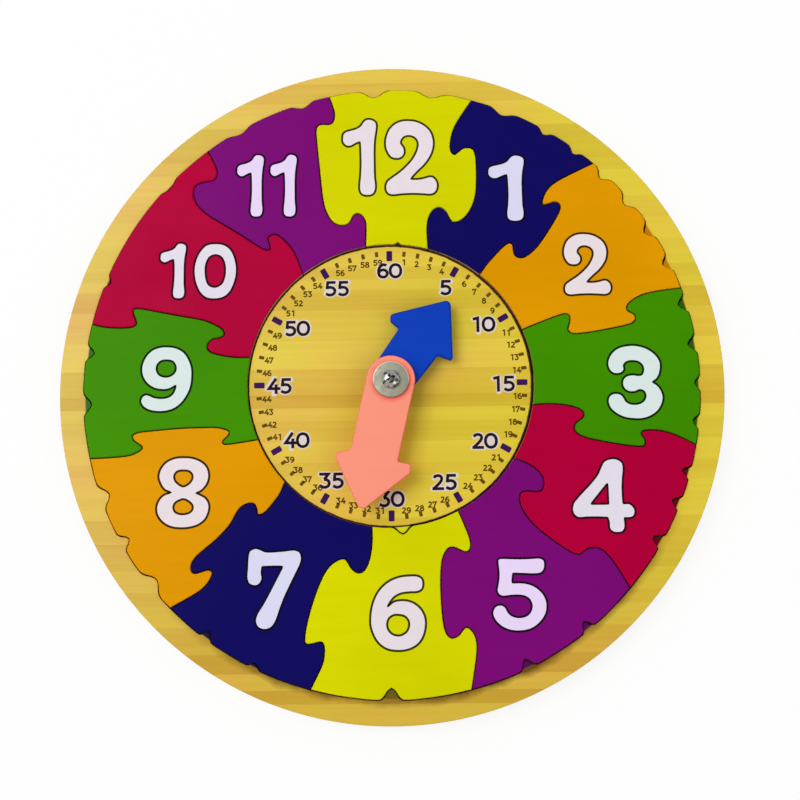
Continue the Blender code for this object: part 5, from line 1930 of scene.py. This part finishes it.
@dataclass
class CentreStack:
    """The screw, its nut, the washers and the spacer between the hands."""

    segments: int = 72
    washer_ease: float = 0.38 * MM
    zinc: MetalFinish = MetalFinish("zinc_steel", linear(162, 162, 146), linear(156, 156, 140),
                                    0.46)
    # Bright steel with many dark patches of painted reflection.
    bright: MetalFinish = MetalFinish("bright_steel", linear(214, 212, 206),
                                      linear(188, 186, 180), 0.12, smudge=0.9)
    # A darker steel for the cross recess, as painted shade.
    recess: MetalFinish = MetalFinish("recess_shade_steel", linear(128, 124, 116),
                                      linear(92, 88, 80), 0.34)
    plastic: PlasticFinish = PlasticFinish("black_plastic", linear(30, 30, 32),
                                           linear(44, 44, 46))

    def turned(self, name: str, profile: list[tuple[float, float]]) -> bpy.types.Mesh:
        """Turn a profile about the pivot.

        Args:
            name: The mesh's name.
            profile: Radius and height of each corner. It closes on itself where it doesn't
                start and end on the axis.

        Returns:
            The closed mesh.
        """
        mesh = bmesh.new()
        rings = []
        for radius, height in profile:
            if radius:
                ring = [mesh.verts.new((*point, height))
                        for point in circle(radius, self.segments, PIVOT)]
            else:
                ring = [mesh.verts.new((*PIVOT, height))]
            rings.append(ring)
        pairs = list(zip(rings, rings[1:]))
        if profile[0][0] and profile[-1][0]:
            pairs.append((rings[-1], rings[0]))
        for lower, upper in pairs:
            for index in range(self.segments):
                after = (index + 1) % self.segments
                corners = [lower[index % len(lower)], lower[after % len(lower)],
                           upper[after % len(upper)], upper[index % len(upper)]]
                unique = list(dict.fromkeys(corners))
                if len(unique) > 2:
                    mesh.faces.new(unique)
        bmesh.ops.recalc_face_normals(mesh, faces=mesh.faces)
        data = bpy.data.meshes.new(name)
        mesh.to_mesh(data)
        mesh.free()
        smooth(data, 35.0)
        return data

    def ring_profile(self, low: float, high: float, inner: float, outer: float,
                     ease: float) -> list[tuple[float, float]]:
        """Return the profile of a washer with eased outer edges.

        Args:
            low: Height of its underside.
            high: Height of its top.
            inner: Radius of its bore.
            outer: Radius of its rim.
            ease: Radius of its edges.

        Returns:
            The profile's corners.
        """
        profile = [(inner, low + ease / 2), (inner + ease / 2, low)]
        for centre, start in ((low + ease, 0.0), (high - ease, 90.0)):
            for step in range(5):
                turn = math.radians(start + 22.5 * step)
                profile.append((outer - ease + ease * math.sin(turn),
                                centre - ease * math.cos(turn)))
        return profile + [(inner + ease / 2, high), (inner, high - ease / 2)]

    def build(self) -> int:
        """Build the stack.

        Returns:
            How many pieces were made.
        """
        zinc = self.zinc.material()
        bright = self.bright.material()
        for node, material, slot, ease in (
            ("front_washer", zinc, "zinc_steel", self.washer_ease),
            ("hand_washer", zinc, "zinc_steel", self.washer_ease),
            ("rear_washer", zinc, "zinc_steel", self.washer_ease),
            ("dial_spacer", self.plastic.material(), "black_plastic", 0.3 * MM),
        ):
            low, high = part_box(node)
            profile = self.ring_profile(low.z, high.z, 2.3 * MM, (high.x - low.x) / 2, ease)
            add_piece(f"{node}_ring", self.turned(node, profile), material, "board", slot, node)
        self.build_nut(zinc)
        self.build_screw(bright)
        return 7

    def build_nut(self, material: bpy.types.Material) -> None:
        """Build the hexagon nut with turned-off corners."""
        low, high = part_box("lock_nut")
        flats = min(high.x - low.x, high.y - low.y)
        corners = flats / math.sqrt(3)
        face = flats / 2 * 0.96
        mouth, bore, lead = 2.6 * MM, 2.3 * MM, 0.3 * MM
        first_flat = 30.0 if high.x - low.x > high.y - low.y else 0.0
        count = self.segments
        fall = (corners - flats / 2) * math.tan(math.radians(30))
        mesh = bmesh.new()
        rings = []
        for level, height in enumerate((low.z, low.z, high.z, high.z)):
            ring = []
            for index in range(count):
                angle = 360.0 * index / count
                beside = (angle + first_flat) % 60.0 - 30.0
                hexagon = flats / 2 / math.cos(math.radians(beside))
                if level in (0, 3):
                    radius = min(face, hexagon)
                    ring.append(mesh.verts.new((*(PIVOT + clock_point(radius, angle)), height)))
                else:
                    drop = fall * (hexagon - face) / (corners - face)
                    drop *= 1.0 if level == 1 else -1.0
                    ring.append(mesh.verts.new((*(PIVOT + clock_point(hexagon, angle)),
                                                height + drop)))
            rings.append(ring)
        for height, radius in ((high.z, mouth), (high.z - lead, bore),
                               (low.z + lead, bore), (low.z, mouth)):
            rings.append([mesh.verts.new((*point, height))
                          for point in circle(radius, count, PIVOT)])
        for lower, upper in zip(rings, rings[1:] + rings[:1]):
            for index in range(count):
                after = (index + 1) % count
                mesh.faces.new((lower[index], lower[after], upper[after], upper[index]))
        bmesh.ops.recalc_face_normals(mesh, faces=mesh.faces)
        data = bpy.data.meshes.new("lock_nut")
        mesh.to_mesh(data)
        mesh.free()
        smooth(data, 25.0)
        add_piece("lock_nut_hexagon", data, material, "board", "zinc_steel", "lock_nut")

    def build_screw(self, material: bpy.types.Material) -> None:
        """Build the pan head screw, its cross recess and its thread."""
        low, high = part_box("centre_screw")
        head = (high.x - low.x) / 2
        base = high.z - 2.7 * MM
        shank = 2.0 * MM
        core = shank * 0.86
        lip, ease = 0.7 * MM, 0.25 * MM
        profile = [(0.0, low.z), (shank * 0.7, low.z), (core, low.z + 0.3 * MM),
                   (core, base), (head - ease, base), (head, base + ease), (head, base + lip)]
        rise = high.z - base - lip
        for step in range(1, 13):
            turn = math.pi / 2 * step / 12
            profile.append((head * math.cos(turn) if step < 12 else 0.0,
                            base + lip + rise * math.sin(turn)))
        screw = bpy.data.objects.new("screw_blank", self.turned("screw_blank", profile))
        bpy.context.scene.collection.objects.link(screw)
        cutter = self.cross_cutter(high.z)
        cut = screw.modifiers.new("recess", "BOOLEAN")
        cut.operation = "DIFFERENCE"
        cut.solver = "EXACT"
        cut.use_self = True
        cut.object = cutter
        view = bpy.context.evaluated_depsgraph_get()
        data = bpy.data.meshes.new_from_object(screw.evaluated_get(view))
        for item in (screw, cutter):
            bpy.data.objects.remove(item, do_unlink=True)
        thread = grown_mesh("thread", thread_tree(),
                            {"Turns": 6.0, "Radius": core, "Length": 4.2 * MM,
                             "Ridge": 0.28 * MM, "Material": material})
        thread.transform(Matrix.Translation((PIVOT.x, PIVOT.y, low.z + 0.32 * MM)))
        whole = bmesh.new()
        whole.from_mesh(data)
        whole.from_mesh(thread)
        whole.to_mesh(data)
        whole.free()
        smooth(data, 30.0)
        piece = add_piece("centre_screw_steel", data, material, "board", "bright_steel",
                          "centre_screw")
        # The recess's faces take the darker steel: painted shade.
        data.materials.append(self.recess.material())
        waist = base + lip
        for face in data.polygons:
            off = (face.center.xy - PIVOT).length
            dome = waist + rise * math.sqrt(max(1.0 - (off / head) ** 2, 0.0))
            if waist - 0.6 * MM < face.center.z < dome - 0.12 * MM and off < head * 0.8:
                face.material_index = 1
        LOG.info("%s: %d faces of its recess", piece.name,
                 sum(face.material_index for face in data.polygons))

    @staticmethod
    def cross_cutter(top: float) -> bpy.types.Object:
        """Return the tapered cross that cuts the recess in the screw's head.

        Args:
            top: Height of the head's top.

        Returns:
            The cutter.
        """
        arm, slot = 2.35 * MM, 0.55 * MM
        above, depth = 0.4 * MM, 1.7 * MM
        mesh = bmesh.new()
        for half_length, half_width in ((arm, slot), (slot, arm)):
            levels = []
            for height, share in ((top + above, 1.12), (top - depth, 0.45)):
                x = half_length * (share if half_length > half_width else 0.85 + share * 0.15)
                y = half_width * (share if half_width > half_length else 0.85 + share * 0.15)
                levels.append([mesh.verts.new((PIVOT.x + a * x, PIVOT.y + b * y, height))
                               for a, b in ((-1, -1), (1, -1), (1, 1), (-1, 1))])
            upper, lower = levels
            mesh.faces.new(upper)
            mesh.faces.new(lower[::-1])
            for index in range(4):
                after = (index + 1) % 4
                mesh.faces.new((lower[index], lower[after], upper[after], upper[index]))
        turn = Matrix.Translation((PIVOT.x, PIVOT.y, 0.0)) @ Matrix.Rotation(
            math.radians(24.0), 4, "Z") @ Matrix.Translation((-PIVOT.x, -PIVOT.y, 0.0))
        bmesh.ops.transform(mesh, matrix=turn, verts=mesh.verts)
        bmesh.ops.recalc_face_normals(mesh, faces=mesh.faces)
        data = bpy.data.meshes.new("cross_cutter")
        mesh.to_mesh(data)
        mesh.free()
        cutter = bpy.data.objects.new("cross_cutter", data)
        bpy.context.scene.collection.objects.link(cutter)
        return cutter


@dataclass
class Studio:
    """The pale floor, the soft light and the camera."""

    focal_pixels: float = 1100.0
    frame_pixels: float = 800.0
    sensor: float = 36.0
    tilt_x: float = -0.139355823
    tilt_y: float = -0.0171870389
    roll: float = 0.0102722941
    offset: Vector = field(default_factory=lambda: Vector((-4.31424046, 7.28562842,
                                                           -496.361245)) * MM)
    key_from: Vector = field(default_factory=lambda: Vector((-1.25, 0.58, 2.35)))
    key_size: float = 1.6
    key_share: float = 0.42
    fill_from: Vector = field(default_factory=lambda: Vector((1.7, -1.1, 2.2)))
    fill_size: float = 1.8
    fill_share: float = 0.10
    world_low: float = 0.62
    world_high: float = 0.42

    def build(self) -> int:
        """Set up the stage.

        Returns:
            How many lamps were placed.
        """
        bpy.context.scene.view_settings.view_transform = "Standard"
        self.place_camera()
        self.lay_floor()
        self.light_world()
        self.place_lamp("key_light", self.key_from, self.key_size, self.key_share)
        self.place_lamp("fill_light", self.fill_from, self.fill_size, self.fill_share)
        return 2

    def place_camera(self) -> None:
        """Place the camera where the photograph was taken from."""
        turn = Matrix.Rotation(self.roll, 3, "Z") @ Matrix.Rotation(self.tilt_x, 3, "X") \
            @ Matrix.Rotation(self.tilt_y, 3, "Y")
        back = turn.transposed()
        spot = -(back @ self.offset) + Vector((0.0, 0.0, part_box("dial_disc")[1].z))
        data = bpy.data.cameras.new("camera")
        data.sensor_width = self.sensor
        data.lens = self.focal_pixels * self.sensor / self.frame_pixels
        camera = bpy.data.objects.new("camera", data)
        camera.matrix_world = Matrix.Translation(spot) @ back.to_4x4()
        bpy.context.scene.collection.objects.link(camera)
        bpy.context.scene.camera = camera

    def lay_floor(self) -> None:
        """Lay a wide white floor that shows a faint shadow and is clear from below."""
        data = bpy.data.meshes.new("floor")
        reach = 3.0
        data.from_pydata([(-reach, -reach, 0.0), (reach, -reach, 0.0), (reach, reach, 0.0),
                          (-reach, reach, 0.0)], [], [(0, 1, 2, 3)])
        floor = bpy.data.objects.new("floor", data)
        bpy.context.scene.collection.objects.link(floor)
        material = bpy.data.materials.new("studio_floor")
        material.use_nodes = True
        graph = Graph(material.node_tree)
        shader = material.node_tree.nodes["Principled BSDF"]
        shader.inputs["Base Color"].default_value = (0.86, 0.86, 0.86, 1.0)
        shader.inputs["Roughness"].default_value = 0.9
        shader.inputs["Specular IOR Level"].default_value = 0.0
        glow = graph.add("ShaderNodeEmission", {"Color": (1.0, 1.0, 1.0, 1.0), "Strength": 1.03})
        path = graph.add("ShaderNodeLightPath")
        seen = graph.math("MULTIPLY", path.outputs["Is Camera Ray"], 0.82)
        lit = graph.add("ShaderNodeMixShader", {0: seen, 1: shader.outputs[0],
                                                2: glow.outputs[0]})
        clear = graph.add("ShaderNodeBsdfTransparent")
        side = graph.add("ShaderNodeNewGeometry")
        both = graph.add("ShaderNodeMixShader", {0: side.outputs["Backfacing"],
                                                 1: lit.outputs[0], 2: clear.outputs[0]})
        end = material.node_tree.nodes["Material Output"]
        graph.link(both.outputs[0], end.inputs["Surface"])
        data.materials.append(material)
        floor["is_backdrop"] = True

    def light_world(self) -> None:
        """Light the scene from all round, more from low down, and show white to the camera."""
        world = bpy.data.worlds.new("studio_world")
        bpy.context.scene.world = world
        world.use_nodes = True
        graph = Graph(world.node_tree)
        spot = graph.add("ShaderNodeTexCoord")
        split = graph.add("ShaderNodeSeparateXYZ", {0: spot.outputs["Generated"]})
        strength = graph.remap(graph.math("ABSOLUTE", split.outputs[2]), 0.0, 1.0,
                               self.world_low, self.world_high)
        back = world.node_tree.nodes["Background"]
        path = graph.add("ShaderNodeLightPath")
        shown = graph.add("ShaderNodeMix", {0: path.outputs["Is Camera Ray"], 2: strength,
                                            3: 1.0}).outputs[0]
        back.inputs["Color"].default_value = (1.0, 1.0, 1.0, 1.0)
        graph.link(shown, back.inputs["Strength"])

    @staticmethod
    def place_lamp(name: str, spot: Vector, size: float, share: float) -> None:
        """Place a square lamp that gives a share of full light on the board.

        Args:
            name: The lamp's name.
            spot: Where it hangs.
            size: Its side.
            share: The share of the light that shows a colour as written.
        """
        data = bpy.data.lights.new(name, "AREA")
        data.size = size
        far = spot.length
        data.energy = share * math.pi ** 2 * far ** 2 / (spot.z / far)
        lamp = bpy.data.objects.new(name, data)
        lamp.matrix_world = Matrix.Translation(spot) @ (-spot).to_track_quat(
            "-Z", "Y").to_matrix().to_4x4()
        bpy.context.scene.collection.objects.link(lamp)


def main() -> None:
    """Build the clock puzzle's looks, piece by piece."""
    logging.basicConfig(level=logging.INFO, format="%(name)s: %(message)s")
    for part in (Board(), DialPrint(), HourPieces(), Hands(), CentreStack(), Studio()):
        LOG.info("%s: %d made", type(part).__name__, part.build())
    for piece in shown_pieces():
        LOG.info("piece %s: %d faces", piece.name, len(piece.data.polygons))


if __name__ == "__main__":
    main()
